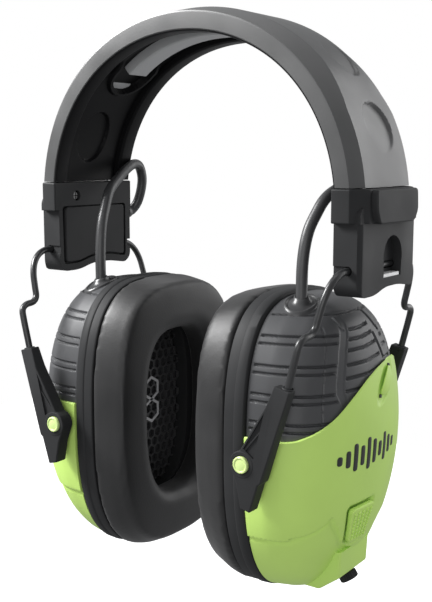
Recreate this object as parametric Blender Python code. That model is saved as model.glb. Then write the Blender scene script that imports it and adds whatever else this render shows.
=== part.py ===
"""An earmuff hearing protector, in metres, +Z up, -Y to the front, X from ear to ear.

The origin is where the crown of the wearer's head meets the underside of the headband. Each piece is
drawn for the +X ("left") side in millimetres and mirrored to the -X ("right") side.
"""

import math

import bmesh
import bpy
from mathutils import Matrix, Vector
from mathutils.bvhtree import BVHTree

MM = 0.001
GAP = 0.3  # between pieces that touch, in millimetres like every size below

# Headband: an arch about a centre line along Y, a little wider at the ears than at the crown.
ARCH_Z = -56.3
CROWN_R = (65.0, 66.0)  # outer flat's radius, at the crown and at the ears
EDGE_R = (62.8, 63.3)  # outer corner of the front and rear side faces
INNER_R = (56.3, 57.8)  # the face towards the head
SHOULDER = 0.7  # how far the arch stands out between crown and ear
BAND_HALF_WIDTH = 21.0
FLAT_HALF_WIDTH = (11.2, 15.6)
CHANNEL_HALF_WIDTH = 14.0
CHANNEL_DEPTH = 3.1  # below the outer flat
STRIP_DEPTH = (3.4, 4.2)
STRIP_HALF_WIDTH = 11.0
LINER_DEPTH = (4.5, 6.0)
LINER_HALF_WIDTH = 13.6
RIB_DEPTH = (4.5, 7.0)
RIB_HALF_WIDTH = 4.6
RIB_HALF_ANGLE = 38.0
SLOT_HALF_WIDTH = 10.0
SLOT_HALF_ANGLE = 49.0
SLOT_ROUND_ANGLE = 9.0  # how far the slot's rounded ends reach, within that angle
BAND_END_Z = -49.6
STRIP_END_Z = -60.5
LEAD_Y = 12.5
LEAD_DEPTH = 3.9
LEAD_RADIUS = 0.4

# Shallow pockets in the band's outer flat, on each side:
# (angle from the crown, y, half length along the band, half width, depth, tilt of the floor).
POCKETS = (
    (67.5, 1.5, 8.6, 8.6, 0.75, 5.0),
    (43.5, 5.0, 6.0, 9.0, 0.5, 4.0),
)

# End piece on each leg of the band.
COLLAR_TOP = -49.9
COLLAR_BOTTOM = -60.3
BLOCK_BOTTOM = -82.9
BLOCK_INNER_X = 57.2
BLOCK_OUTER_X = 66.3
COLLAR_OUTER_X = 67.4
COLLAR_EDGE_X = 63.4
COLLAR_HALF_WIDTH = 21.5
BLOCK_Y = (-19.4, 20.7)
BLOCK_LOBE = 2.0  # how much higher the block's lower edge is between its lobes
BLOCK_BEVEL = (1.5, 3.5)  # the upright outer corners' bevel, along X and along Y
BUMP_OUTER_X = 69.4
BUMP_SHAPE = ((-14.6, -50.3), (-13.4, -58.1), (-11.2, -60.6), (12.8, -60.8), (15.6, -57.3), (15.0, -50.3))
WINDOW_ARCH = (3.5, -71.6, 6.7)  # centre and radius
WINDOW_Y = (-2.8, 9.6)
WINDOW_FOOT = -78.0
WINDOW_DEPTH = 2.4
CROSSBAR_X = 62.2
CROSSBAR_Z = -74.6
CROSSBAR_BORE = 1.5
LOOP_ENTRY = (60.0, 21.5, -62.6)
ENTRY_BORE = 2.1
ENTRY_DEPTH = 4.0
STRIP_POCKET = (1.3, 1.5)  # room outside and inside the spring strip's middle
RECESS = (-17.8, 17.8, -58.6, -80.2)  # front, rear, top and foot of the cover plate's seat
RECESS_DEPTH = 2.0
COVER_PLATE = (-17.4, 17.4, -59.0, -79.8)
COVER_PLATE_X = (0.2, 1.7)  # below the block's inner face
SCREW_Y = -9.7
SCREW_Z = -54.9
SCREW_RADIUS = 1.55
SCREW_X = (0.3, 2.1)  # below the block's inner face
SCREW_SLOT = (0.3, 0.9)  # half width and depth

# Bail and arms, drawn upright about the crossbar and then leant in at the foot.
BAIL_LEAN = 14.0
WIRE_RADIUS = 1.15
WIRE_Y = 39.4
WIRE_FOOT = -60.0
ARM_Y = (37.0, 43.2)
ARM_TOP = -34.6
ARM_FOOT = -76.0
BAR_X = (-4.4, 2.4)
BORE_RADIUS = 1.5
BORE_FOOT = -72.5
PIN_AT = (-7.9, -62.3)
BOSS_RADIUS = 4.3
WEB_DEPTH = 2.4
PIN_RADIUS = 2.0
PIN_PLAY = 0.35
PIN_HEAD_RADIUS = 2.65
PIN_HEAD = (-1.0, 0.3)  # from the arm's outer face
HEAD_SEAT_DEPTH = 0.6
PIN_INNER_Y = 36.4

# Ear cup: outlines in the Y-Z plane at stations along X.
CUP_Z = -134.2
CUP_HALF_WIDTH = 34.6
CUP_HALF_HEIGHT = 49.2
CUP_EGG = 0.10  # how much narrower the outline is at its foot
CUP_POWER = 3.0
CUSHION_X = (14.5, 27.6)
PLATE_X = (28.1, 29.6)
PLATE_SIZE = (26.5, 41.5)
RIM_X = (27.9, 35.7)
RIM_SEAT_DEPTH = 2.2
SHELL_X = 36.0
EAR_Z = -133.0
EAR_HALF_WIDTH = 18.5
EAR_HALF_HEIGHT = 32.0
SIDES = 36

# (x, half width and half height as a share of the rim's, lift of the centre, power of the outline)
SHELL_STATIONS = (
    (36.0, 1.00, 1.00, 0.0, 3.0),
    (42.0, 1.005, 1.0, 0.0, 2.7),
    (48.0, 0.98, 0.98, 0.0, 2.5),
    (53.0, 0.91, 0.925, 0.3, 2.4),
    (57.2, 0.79, 0.835, 0.8, 2.3),
    (60.4, 0.63, 0.69, 1.2, 2.2),
    (62.6, 0.42, 0.49, 1.6, 2.1),
    (63.6, 0.20, 0.24, 2.0, 2.0),
)
CHIN = 0.13  # how much less deep the shell is at its foot
SHELL_WALL = 2.2
COVER_STAND_OFF = (0.35, 1.35)

# The cover's swept upper edge, seen from the side, from well in front to well behind.
COVER_EDGE = (
    (-60.0, -127.5),
    (-37.0, -126.6),
    (-31.0, -124.9),
    (-23.0, -120.4),
    (-14.6, -114.6),
    (-6.0, -109.8),
    (3.0, -107.0),
    (13.4, -106.0),
    (22.0, -107.6),
    (33.0, -113.0),
    (60.0, -117.0),
)

GRILLE_X = (33.4, 34.4)
GRILLE_GROW = 2.6
FOAM_X = (36.5, 48.0)
FOAM_SIZE = (27.6, 41.5)
FOAM_WELL = (15.5, 24.0)
FOAM_POWER = 2.4
DRIVER_X = (38.0, 44.5, 49.0)
DRIVER_RADIUS = (13.0, 7.0)
BOARD_X = (52.6, 54.2)
BOARD_YZ = (-14.0, 14.0, -151.0, -117.0)
BATTERY_X = (52.0, 56.5)
BATTERY_SIZE = (12.0, 16.0)
BATTERY_POWER = 6.0
GROMMET_AT = (42.8, -13.2)
GROMMET_Z = (-90.0, -85.3, -84.5)  # underside, top of the flange, top of the neck
GROMMET_FLANGE = (5.2, 6.6)
GROMMET_NECK = 2.7
GROMMET_BORE = 2.1
GROMMET_HOLE = 3.0
LOOP_RADIUS = 1.75

# Where each control or insert sits on the cover: (y, z) seen from the side.
BUTTON_AT = (-6.5, -158.0)
BUTTON_SHAPE = (6.9, 4.6, 6.6)  # half widths at the top and foot, and half height
BUTTON_PAD = (-1.2, 0.9)  # along the button's own axis, from the cover's face
PLUNGER = (-3.6, -1.0)
PLUNGER_RADIUS = 2.2
WELL_DEPTH = 2.55
PLUNGER_HOLE_DEPTH = 8.0
MIC_AT = (5.6, -112.6)
MIC_HALF = (2.8, 7.2)
MIC_TURN = -47.0
MIC_THICK = (-0.95, 0.35)
HOLE_REACH = 3.0  # how far a cutter goes either side of the cover's face
FOOT_Y = (-13.0, 7.0)
FOOT_X = (44.0, 50.5, 58.0, 58.6)
FOOT_Z = (-181.6, -176.0, -165.2)
KNOB_AT = (54.4, -1.0, -178.6)
KNOB_TILT = 34.5
KNOB_RADIUS = 3.2
KNOB_HEIGHT = 3.0
KNOB_RIDGES = 12
KNOB_RIDGE_DEPTH = 0.35
STEM_RADIUS = 1.3
STEM = (-1.6, 0.6)
STEM_SEAT = (1.7, 2.4)  # radius and depth

# The cable loop's route, from inside the grommet over and down into the end piece's rear side.
LOOP_ROUTE = (
    (42.8, -13.2, -87.6),
    (42.9, -13.0, -74.3),
    (43.5, -11.3, -65.0),
    (44.6, -8.1, -58.8),
    (46.3, -3.6, -53.0),
    (49.3, 4.7, -48.8),
    (52.4, 13.1, -45.5),
    (54.3, 20.0, -43.4),
    (55.2, 24.6, -44.3),
    (55.6, 26.8, -48.9),
    (56.6, 27.1, -54.2),
    (58.2, 26.6, -59.0),
    (59.6, 24.6, -62.0),
    (60.0, 21.5, -62.6),
    (60.0, 18.3, -62.6),
)

LEFT, RIGHT = "left", "right"
SHARP_ANGLE = 32.0
MATERIALS = {}


def clear_scene():
    for obj in list(bpy.data.objects):
        bpy.data.objects.remove(obj, do_unlink=True)


def material(name, colour, roughness, metallic=0.0):
    made = bpy.data.materials.new(name)
    made.use_nodes = True
    shader = made.node_tree.nodes["Principled BSDF"]
    shader.inputs["Base Color"].default_value = (*colour, 1.0)
    shader.inputs["Roughness"].default_value = roughness
    shader.inputs["Metallic"].default_value = metallic
    return made


def make_materials():
    return {
        "band": material("band", (0.16, 0.16, 0.165), 0.5),
        "charcoal": material("charcoal", (0.03, 0.03, 0.032), 0.5),
        "shell": material("shell", (0.055, 0.055, 0.057), 0.5),
        "lime": material("lime", (0.36, 0.56, 0.13), 0.4),
        "pin": material("pin", (0.45, 0.62, 0.18), 0.4),
        "cushion": material("cushion", (0.018, 0.018, 0.019), 0.45),
        "foam": material("foam", (0.02, 0.02, 0.02), 0.95),
        "wire": material("wire", (0.05, 0.05, 0.05), 0.35, 0.6),
        "steel": material("steel", (0.5, 0.5, 0.5), 0.3, 1.0),
        "cable": material("cable", (0.05, 0.05, 0.05), 0.45),
        "board": material("board", (0.02, 0.12, 0.05), 0.5),
        "battery": material("battery", (0.25, 0.27, 0.3), 0.4),
    }


def object_from(name, bm, slot):
    """An object from a bmesh drawn in millimetres, smooth except at its corners."""
    bmesh.ops.scale(bm, vec=(MM, MM, MM), verts=bm.verts)
    bmesh.ops.recalc_face_normals(bm, faces=bm.faces)
    mesh = bpy.data.meshes.new(name)
    bm.to_mesh(mesh)
    bm.free()
    mesh.shade_smooth()
    mesh.set_sharp_from_angle(angle=math.radians(SHARP_ANGLE))
    mesh.materials.append(MATERIALS[slot])
    obj = bpy.data.objects.new(name, mesh)
    bpy.context.scene.collection.objects.link(obj)
    return obj


def loft(name, rings, slot, ends=True, loop=False):
    """Skins rings of equal point counts; ends caps the first and last, loop joins them."""
    bm = bmesh.new()
    rows = [[bm.verts.new(point) for point in ring] for ring in rings]
    pairs = list(zip(rows, rows[1:]))
    if loop:
        pairs.append((rows[-1], rows[0]))
    for low, high in pairs:
        count = len(low)
        for i in range(count):
            j = (i + 1) % count
            bm.faces.new((low[i], low[j], high[j], high[i]))
    if ends and not loop:
        bm.faces.new(rows[0])
        bm.faces.new(rows[-1])
    return object_from(name, bm, slot)


def prism(name, outline, axis, low, high, slot):
    """An outline in the plane across axis, drawn out from low to high."""
    def at(a, b, along):
        return {"x": (along, a, b), "y": (a, along, b), "z": (a, b, along)}[axis]

    rings = [[at(a, b, along) for a, b in outline] for along in (low, high)]
    return loft(name, rings, slot)


def circle(radius, centre=(0.0, 0.0), count=16, turn=0.0):
    steps = [math.radians(360 * i / count + turn) for i in range(count)]
    return [(centre[0] + radius * math.cos(t), centre[1] + radius * math.sin(t)) for t in steps]


def rectangle(a_low, a_high, b_low, b_high):
    return [(a_low, b_low), (a_high, b_low), (a_high, b_high), (a_low, b_high)]


def superellipse(half_width, half_height, centre_z, power=CUP_POWER, count=SIDES):
    points = []
    for i in range(count):
        t = 2 * math.pi * (i + 0.5) / count
        c, s = math.cos(t), math.sin(t)
        y = half_width * math.copysign(abs(c) ** (2 / power), c)
        z = half_height * math.copysign(abs(s) ** (2 / power), s)
        if z < 0:
            y *= 1 - CUP_EGG * (z / half_height) ** 2
        points.append((y, centre_z + z))
    return points


def cup_ring(x, half_width, half_height, centre_z=CUP_Z, power=CUP_POWER, count=SIDES):
    return [(x, y, z) for y, z in superellipse(half_width, half_height, centre_z, power, count)]


def combine(obj, others, operation):
    """Cuts the others from obj, or joins them to it, and keeps the result as obj's mesh."""
    for other in others:
        modifier = obj.modifiers.new(operation.lower(), "BOOLEAN")
        modifier.operation = operation
        modifier.object = other
        modifier.solver = "EXACT"
    graph = bpy.context.evaluated_depsgraph_get()
    result = bpy.data.meshes.new_from_object(obj.evaluated_get(graph))
    obj.modifiers.clear()
    obj.data = result
    result.shade_smooth()
    result.set_sharp_from_angle(angle=math.radians(SHARP_ANGLE))
    for other in others:
        bpy.data.objects.remove(other, do_unlink=True)
    return obj


def cut(obj, *cutters):
    return combine(obj, cutters, "DIFFERENCE")


def join(obj, *others):
    return combine(obj, others, "UNION")


def mirrored(obj, across, name):
    """A copy of obj on the other side of the plane across X or Y."""
    scale = (-1, 1, 1) if across == "x" else (1, -1, 1)
    mesh = obj.data.copy()
    mesh.transform(Matrix.Diagonal((*scale, 1)))
    mesh.flip_normals()
    copy = bpy.data.objects.new(name, mesh)
    bpy.context.scene.collection.objects.link(copy)
    return copy


def both_sides(maker, part, *arguments):
    """Makes left_PART and its mirror image right_PART."""
    left = maker(f"{LEFT}_{part}", *arguments)
    right = mirrored(left, "x", f"{RIGHT}_{part}")
    return left, right


def move_origin(obj, point):
    """Puts the object's origin on point, in millimetres, and leaves its mesh where it is."""
    place = Vector(point) * MM
    obj.data.transform(Matrix.Translation(-place))
    obj.location = place


# Headband ----------------------------------------------------------------------------------------


def blend_radius(radii, angle):
    return radii[0] + (radii[1] - radii[0]) * math.sin(angle) ** 2 + SHOULDER * math.sin(2 * angle) ** 2


def end_angle(radii, end_z):
    """The angle from the crown at which a radius of the arch comes down to end_z."""
    angle = math.radians(85)
    for _ in range(20):
        angle = math.acos((end_z - ARCH_Z) / blend_radius(radii, angle))
    return angle


def arch_point(radii, offset, y, share, end_z):
    """A point at share, from -1 to 1, of the way from the crown to the end of the band's leg."""
    shifted = (radii[0] - offset, radii[1] - offset)
    angle = share * end_angle(shifted, end_z)
    radius = blend_radius(shifted, angle)
    return (radius * math.sin(angle), y, ARCH_Z + radius * math.cos(angle))


def arch_sweep(name, section, end_z, slot, half_share=1.0, steps=32):
    """Sweeps section(share), a list of (radii, offset, y), along the arch."""
    rings = []
    for i in range(steps + 1):
        share = half_share * (2 * i / steps - 1)
        rings.append([arch_point(r, off, y, share, end_z) for r, off, y in section(share)])
    return loft(name, rings, slot)


def plate_section(depths, half_width):
    """A rectangular section between two depths below the outer flat."""
    outer, inner = depths
    return lambda share: [
        (CROWN_R, outer, -half_width),
        (CROWN_R, outer, half_width),
        (CROWN_R, inner, half_width),
        (CROWN_R, inner, -half_width),
    ]


def channel_section(share):
    spread = min(1.0, max(0.0, (abs(share) - 0.55) / 0.2))
    flat = FLAT_HALF_WIDTH[0] + (FLAT_HALF_WIDTH[1] - FLAT_HALF_WIDTH[0]) * spread
    wide, channel = BAND_HALF_WIDTH, CHANNEL_HALF_WIDTH
    half = [
        (CROWN_R, 0, flat),
        (EDGE_R, 0, wide),
        (INNER_R, 0, wide),
        (INNER_R, 0, channel),
        (CROWN_R, CHANNEL_DEPTH, channel),
    ]
    return half + [(r, off, -y) for r, off, y in reversed(half)]


def slot_section(share):
    """The liner's long slot, whose ends are rounded by narrowing the section."""
    full, end = SLOT_HALF_ANGLE - SLOT_ROUND_ANGLE, SLOT_HALF_ANGLE
    degrees = abs(share) * 90
    past = max(0.0, (degrees - full) / (end - full))
    half_width = max(0.4, SLOT_HALF_WIDTH * math.sqrt(max(0.0, 1 - past * past)))
    return plate_section((LINER_DEPTH[0] - 1, LINER_DEPTH[1] + 1), half_width)(share)


def pocket_cutter(angle_degrees, y, half_along, half_across, depth, tilt):
    """An elliptical plug that sinks into the band's outer flat, deepest towards +tilt."""
    radius = blend_radius(CROWN_R, math.radians(angle_degrees))
    outline = [(half_across * c, half_along * s) for c, s in circle(1.0, count=24)]
    plug = prism("pocket_cutter", outline, "z", 0.0, 6.0, "band")
    place = (
        Matrix.Translation(Vector((0, y, ARCH_Z)) * MM)
        @ Matrix.Rotation(math.radians(angle_degrees), 4, "Y")
        @ Matrix.Translation(Vector((0, 0, radius - depth)) * MM)
        @ Matrix.Rotation(math.radians(90), 4, "Z")
        @ Matrix.Rotation(math.radians(tilt), 4, "Y")
    )
    plug.data.transform(place)
    return plug


def make_headband_shell():
    shell = arch_sweep("headband_shell", channel_section, BAND_END_Z, "band", steps=40)
    pockets = [pocket_cutter(side * angle, *rest) for angle, *rest in POCKETS for side in (-1, 1)]
    return cut(shell, *pockets)


def make_headband_liner():
    liner = arch_sweep(
        "headband_liner", plate_section(LINER_DEPTH, LINER_HALF_WIDTH), BAND_END_Z, "charcoal"
    )
    slot = arch_sweep("slot_cutter", slot_section, ARCH_Z, "band", SLOT_HALF_ANGLE / 90, 28)
    return cut(liner, slot)


def make_crown_rib():
    section = plate_section(RIB_DEPTH, RIB_HALF_WIDTH)
    return arch_sweep("crown_rib", section, ARCH_Z, "band", RIB_HALF_ANGLE / 90, 20)


def make_spring_strip():
    section = plate_section(STRIP_DEPTH, STRIP_HALF_WIDTH)
    return arch_sweep("spring_strip", section, STRIP_END_Z, "steel")


def tube(name, points, radius, slot, resolution=2):
    """A round tube with filled caps through points in millimetres."""
    curve = bpy.data.curves.new(name, "CURVE")
    curve.dimensions = "3D"
    curve.bevel_depth = radius * MM
    curve.bevel_resolution = resolution
    curve.use_fill_caps = True
    spline = curve.splines.new("POLY")
    spline.points.add(len(points) - 1)
    for point, place in zip(spline.points, points):
        point.co = (*(Vector(place) * MM), 1.0)
    guide = bpy.data.objects.new(name + "_guide", curve)
    graph = bpy.context.evaluated_depsgraph_get()
    bpy.context.scene.collection.objects.link(guide)
    graph.update()
    mesh = bpy.data.meshes.new_from_object(guide.evaluated_get(graph))
    bpy.data.objects.remove(guide, do_unlink=True)
    bm = bmesh.new()
    bm.from_mesh(mesh)
    bmesh.ops.remove_doubles(bm, verts=bm.verts, dist=1e-6)
    bmesh.ops.scale(bm, vec=(1 / MM, 1 / MM, 1 / MM), verts=bm.verts)
    return object_from(name, bm, slot)


def smooth_route(route, spacing):
    """Points every spacing millimetres along a smooth curve through the route's own points."""
    count = len(route)
    route = [Vector(p) for p in route]
    ends = [2 * route[0] - route[1], *route, 2 * route[-1] - route[-2]]
    dense = []
    for i in range(count - 1):
        a, b, c, d = ends[i : i + 4]
        for k in range(40):
            t = k / 40
            dense.append(
                0.5
                * (2 * b + (c - a) * t + (2 * a - 5 * b + 4 * c - d) * t**2 + (3 * b - a - 3 * c + d) * t**3)
            )
    dense.append(route[-1])
    lengths = [0.0]
    for p, q in zip(dense, dense[1:]):
        lengths.append(lengths[-1] + (q - p).length)
    steps = max(2, round(lengths[-1] / spacing))
    points, k = [], 0
    for i in range(steps + 1):
        goal = lengths[-1] * i / steps
        while k < len(lengths) - 2 and lengths[k + 1] < goal:
            k += 1
        share = (goal - lengths[k]) / max(1e-9, lengths[k + 1] - lengths[k])
        points.append(dense[k].lerp(dense[k + 1], min(1.0, share)))
    return points


def make_band_lead():
    """The thin lead beside the spring strip, from one end piece to the other."""
    end_z = STRIP_END_Z + 2.0
    points = [arch_point(CROWN_R, LEAD_DEPTH, LEAD_Y, -1 + i / 20, end_z) for i in range(41)]
    return tube("band_lead", points, LEAD_RADIUS, "cable", 0)


# End pieces --------------------------------------------------------------------------------------


def wavy_bottom(z):
    """The lower edge of the block and of its cover plate: a front lobe and a higher rear."""
    front, rear = BLOCK_Y[0] + 2.4, BLOCK_Y[1] - 3.0
    lobe = z + BLOCK_LOBE
    return [(front, z), (-9.0, z), (-1.0, lobe), (8.0, lobe), (rear, z + 0.3 * BLOCK_LOBE)]


def make_collar(name):
    """The upper part of the end piece, which follows the band's own section."""
    wide, flat = COLLAR_HALF_WIDTH, FLAT_HALF_WIDTH[1]
    outline = [
        (BLOCK_INNER_X, -wide),
        (COLLAR_EDGE_X, -wide),
        (COLLAR_OUTER_X, -flat),
        (COLLAR_OUTER_X, flat),
        (COLLAR_EDGE_X, wide),
        (BLOCK_INNER_X, wide),
    ]
    return prism(name, outline, "z", COLLAR_BOTTOM, COLLAR_TOP, "charcoal")


def block_corner(y, outwards):
    """A wedge that takes off one upright outer corner of the block."""
    deep, reach = BLOCK_BEVEL
    outline = [
        (BLOCK_OUTER_X - deep, y + outwards),
        (BLOCK_OUTER_X + 1.0, y + outwards),
        (BLOCK_OUTER_X + 1.0, y - outwards * reach),
    ]
    return prism("corner", outline, "z", BLOCK_BOTTOM - 2, COLLAR_BOTTOM - 0.02, "charcoal")


def make_block():
    """The body under the collar, with bevelled outer corners."""
    front, rear = BLOCK_Y
    top, shoulder = COLLAR_BOTTOM + 1.0, BLOCK_BOTTOM + 3.0
    side = [(front, shoulder), *wavy_bottom(BLOCK_BOTTOM), (rear, shoulder), (rear, top), (front, top)]
    block = prism("block", side, "x", BLOCK_INNER_X + 0.02, BLOCK_OUTER_X, "charcoal")
    return cut(block, block_corner(front, -1), block_corner(rear, 1))


def strip_pocket():
    """Room for the spring strip and the lead beside it, from the collar's top."""
    middle = CROWN_R[1] - sum(STRIP_DEPTH) / 2
    outwards, inwards = STRIP_POCKET
    outline = rectangle(middle - inwards, middle + outwards, -STRIP_HALF_WIDTH - 0.7, LEAD_Y + 1.0)
    return prism("pocket", outline, "z", STRIP_END_Z - 1.0, COLLAR_TOP + 2, "charcoal")


def arched_window():
    y, z, radius = WINDOW_ARCH
    arch = [(y + a, z + b) for a, b in circle(radius, count=20) if b > -0.01]
    outline = [(WINDOW_Y[0], WINDOW_FOOT), (WINDOW_Y[1], WINDOW_FOOT), *arch]
    return prism("window", outline, "x", BLOCK_OUTER_X - WINDOW_DEPTH, BLOCK_OUTER_X + 3, "charcoal")


def crossbar_seats():
    """The bore for the bail's crossbar, open towards the head at both of its ends."""
    wide = COLLAR_HALF_WIDTH + 2
    bore = prism("bore", circle(CROSSBAR_BORE, (CROSSBAR_X, CROSSBAR_Z)), "y", -wide, wide, "charcoal")
    mouth = rectangle(BLOCK_INNER_X - 2, CROSSBAR_X, CROSSBAR_Z - 1.4, CROSSBAR_Z + 1.4)
    front = prism("mouth", mouth, "y", -wide, BLOCK_Y[0] + 1.0, "charcoal")
    rear = prism("mouth", mouth, "y", BLOCK_Y[1] - 1.0, wide, "charcoal")
    return bore, front, rear


def plate_recess():
    front, rear, top, foot = RECESS
    outline = [(front, top), *wavy_bottom(foot), (rear, top)]
    return prism("recess", outline, "x", BLOCK_INNER_X - 2, BLOCK_INNER_X + RECESS_DEPTH, "charcoal")


def screw_hole():
    outline = circle(SCREW_RADIUS + PIN_PLAY, (SCREW_Y, SCREW_Z))
    return prism("screw_hole", outline, "x", BLOCK_INNER_X - 1, BLOCK_INNER_X + SCREW_X[1] + GAP, "charcoal")


def cable_entry():
    x, y, z = LOOP_ENTRY
    return prism("entry", circle(ENTRY_BORE, (x, z)), "y", y - ENTRY_DEPTH, y + 2, "charcoal")


def make_end_piece(name):
    bump = prism("bump", BUMP_SHAPE, "x", COLLAR_OUTER_X - 3.0, BUMP_OUTER_X, "charcoal")
    solid = join(make_collar(name), make_block(), bump)
    openings = [strip_pocket(), arched_window(), *crossbar_seats()]
    return cut(solid, *openings, plate_recess(), screw_hole(), cable_entry())


def make_end_cover(name):
    """The plate that closes the block on the side facing the head."""
    front, rear, top, foot = COVER_PLATE
    shape = [(front, top), *[(0.975 * y, z) for y, z in wavy_bottom(foot)], (rear, top)]
    low, high = COVER_PLATE_X
    return prism(name, shape, "x", BLOCK_INNER_X + low, BLOCK_INNER_X + high, "shell")


def make_end_screw(name):
    """A countersunk screw's head with one slot across it."""
    low, high = SCREW_X
    half, deep = SCREW_SLOT
    low, high = BLOCK_INNER_X + low, BLOCK_INNER_X + high
    head = prism(name, circle(SCREW_RADIUS, (SCREW_Y, SCREW_Z)), "x", low, high, "steel")
    outline = rectangle(SCREW_Y - half, SCREW_Y + half, SCREW_Z - 2, SCREW_Z + 2)
    return cut(head, prism("slot", outline, "x", BLOCK_INNER_X - 0.5, BLOCK_INNER_X + deep, "steel"))


# Bail and arms -----------------------------------------------------------------------------------


def lean(obj):
    """Takes a piece drawn upright about the crossbar to its place on the leaning bail."""
    place = Matrix.Translation(Vector((CROSSBAR_X, 0, CROSSBAR_Z)) * MM)
    obj.data.transform(place @ Matrix.Rotation(math.radians(BAIL_LEAN), 4, "Y"))
    return obj


def leant(x, y, z):
    """A point of the upright drawing, where it comes to lie."""
    turned = Matrix.Rotation(math.radians(BAIL_LEAN), 3, "Y") @ Vector((x, y, z))
    return turned + Vector((CROSSBAR_X, 0, CROSSBAR_Z))


def make_bail_wire(name):
    """One bent wire: down a leg, through the end piece and down the other leg."""
    side = [
        (0.0, 12.0, 0.0),
        (0.0, 20.0, 0.0),
        (0.0, 23.4, -0.4),
        (0.0, 26.6, -2.0),
        (0.0, 29.0, -4.8),
        (0.0, 30.4, -8.6),
        (0.0, 30.9, -13.0),
        (0.0, 31.3, -16.6),
        (0.0, 33.2, -18.4),
        (0.0, 36.8, -19.0),
        (0.0, 39.0, -20.6),
        (0.0, WIRE_Y, -24.0),
        (0.0, WIRE_Y, -32.0),
        (0.0, WIRE_Y, -46.0),
        (0.0, WIRE_Y, WIRE_FOOT),
    ]
    route = [(x, -y, z) for x, y, z in reversed(side)] + side
    return lean(tube(name, smooth_route(route, 3.2), WIRE_RADIUS, "wire", 2))


def arm_outline():
    """The arm seen from the front, with the boss round the pin at its inner side."""
    px, pz = PIN_AT
    boss = [
        (px + BOSS_RADIUS * math.cos(math.radians(t)), pz + BOSS_RADIUS * math.sin(math.radians(t)))
        for t in range(115, 206, 15)
    ]
    return [
        (BAR_X[1], ARM_TOP),
        (BAR_X[0], ARM_TOP),
        (BAR_X[0], ARM_TOP - 7.0),
        *boss,
        (px - 1.2, -69.0),
        (-5.4, ARM_FOOT),
        (0.0, ARM_FOOT),
        (BAR_X[1] - 0.9, -63.2),
        (BAR_X[1], -62.0),
    ]


def make_front_arm(name):
    """The moulded arm round the wire's foot, with a thin web beside the pin's boss."""
    low, high = -ARM_Y[1], -ARM_Y[0]
    px, pz = PIN_AT
    inner = BAR_X[0] - 0.3
    web_shape = [(inner, ARM_TOP - 9.5), (px - 0.2, pz + BOSS_RADIUS + 0.3), (inner, pz + 3.2)]
    web = prism("web", web_shape, "y", low - 1, low + WEB_DEPTH, "charcoal")
    ring = prism("ring", circle(BOSS_RADIUS - 0.02, PIN_AT, 20), "y", low - 0.5, low + 3.0, "charcoal")
    arm = cut(prism(name, arm_outline(), "y", low, high, "charcoal"), web)
    join(arm, ring)
    bore = prism("bore", circle(BORE_RADIUS, (0.0, -WIRE_Y), 12), "z", BORE_FOOT, ARM_TOP + 2, "charcoal")
    hole = prism("hole", circle(PIN_RADIUS + PIN_PLAY, PIN_AT, 20), "y", low - 2, high + 2, "charcoal")
    seat_shape = circle(PIN_HEAD_RADIUS + PIN_PLAY, PIN_AT, 20)
    seat = prism("seat", seat_shape, "y", low - 2, low + HEAD_SEAT_DEPTH, "charcoal")
    return lean(cut(arm, bore, hole, seat))


def make_front_pin(name):
    """The pivot pin: a flat head outside the arm and a shaft into the rim's side."""
    low = -ARM_Y[1]
    head_low, head_high = PIN_HEAD
    head = prism(name, circle(PIN_HEAD_RADIUS, PIN_AT, 20), "y", low + head_low, low + head_high, "pin")
    shaft = prism("shaft", circle(PIN_RADIUS, PIN_AT, 20), "y", low + 0.1, -PIN_INNER_Y, "pin")
    return lean(join(head, shaft))


# Ear cups ----------------------------------------------------------------------------------------


def make_cushion(name):
    """A soft ring with a rounded front, open at the ear."""
    back, front = CUSHION_X[1], CUSHION_X[0]
    thick = back - front
    outer = ((1.0, 1.56), (0.70, 0.0), (0.35, 0.17), (0.10, 2.42), (0.0, 6.92))
    inner = ((0.02, 5.0), (0.22, 1.2), (0.55, 0.0), (1.0, 1.02))
    rings = []
    for share, inset in outer:
        rings.append(cup_ring(front + share * thick, CUP_HALF_WIDTH - inset, CUP_HALF_HEIGHT - inset))
    for share, grow in inner:
        size = (EAR_HALF_WIDTH + grow, EAR_HALF_HEIGHT + grow)
        rings.append(cup_ring(front + share * thick, *size, EAR_Z))
    return loft(name, rings, "cushion", loop=True)


def make_cushion_plate(name):
    """The stiff flat ring at the cushion's back that snaps into the rim."""
    low, high = PLATE_X
    grow = 1.6
    rings = [cup_ring(x, *PLATE_SIZE) for x in (high, low)]
    rings += [cup_ring(x, EAR_HALF_WIDTH + grow, EAR_HALF_HEIGHT + grow, EAR_Z) for x in (low, high)]
    return loft(name, rings, "charcoal", loop=True)


def make_rim(name):
    """The cup's inner flange, stepped on its outside, with a seat for the cushion plate."""
    low, high = RIM_X
    width, height = CUP_HALF_WIDTH, CUP_HALF_HEIGHT
    outer = [(high, 1.0), (high - 1.0, 1.5), (low + 1.2, 1.2), (low, -0.6)]
    rings = [cup_ring(x, width + grow, height + grow) for x, grow in outer]
    seat, grow = low + RIM_SEAT_DEPTH, 3.0
    rings += [cup_ring(x, PLATE_SIZE[0] + 0.5, PLATE_SIZE[1] + 0.5) for x in (low, seat)]
    rings += [cup_ring(x, EAR_HALF_WIDTH + grow, EAR_HALF_HEIGHT + grow, EAR_Z) for x in (seat, high)]
    return loft(name, rings, "charcoal", loop=True)


def chin(z):
    """The share of the shell's depth that is left at a height z."""
    below = max(0.0, (CUP_Z + 8.0 - z) / CUP_HALF_HEIGHT)
    return 1 - CHIN * below**1.5


def shell_ring(station, grow):
    x, wide, high, lift, power = station
    size = (CUP_HALF_WIDTH * wide + grow, CUP_HALF_HEIGHT * high + grow)
    ring = cup_ring(x + grow * 1.3 * (1 - wide), *size, CUP_Z + lift, power)
    return [(SHELL_X + (x - SHELL_X) * chin(z), y, z) for x, y, z in ring]


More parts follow.
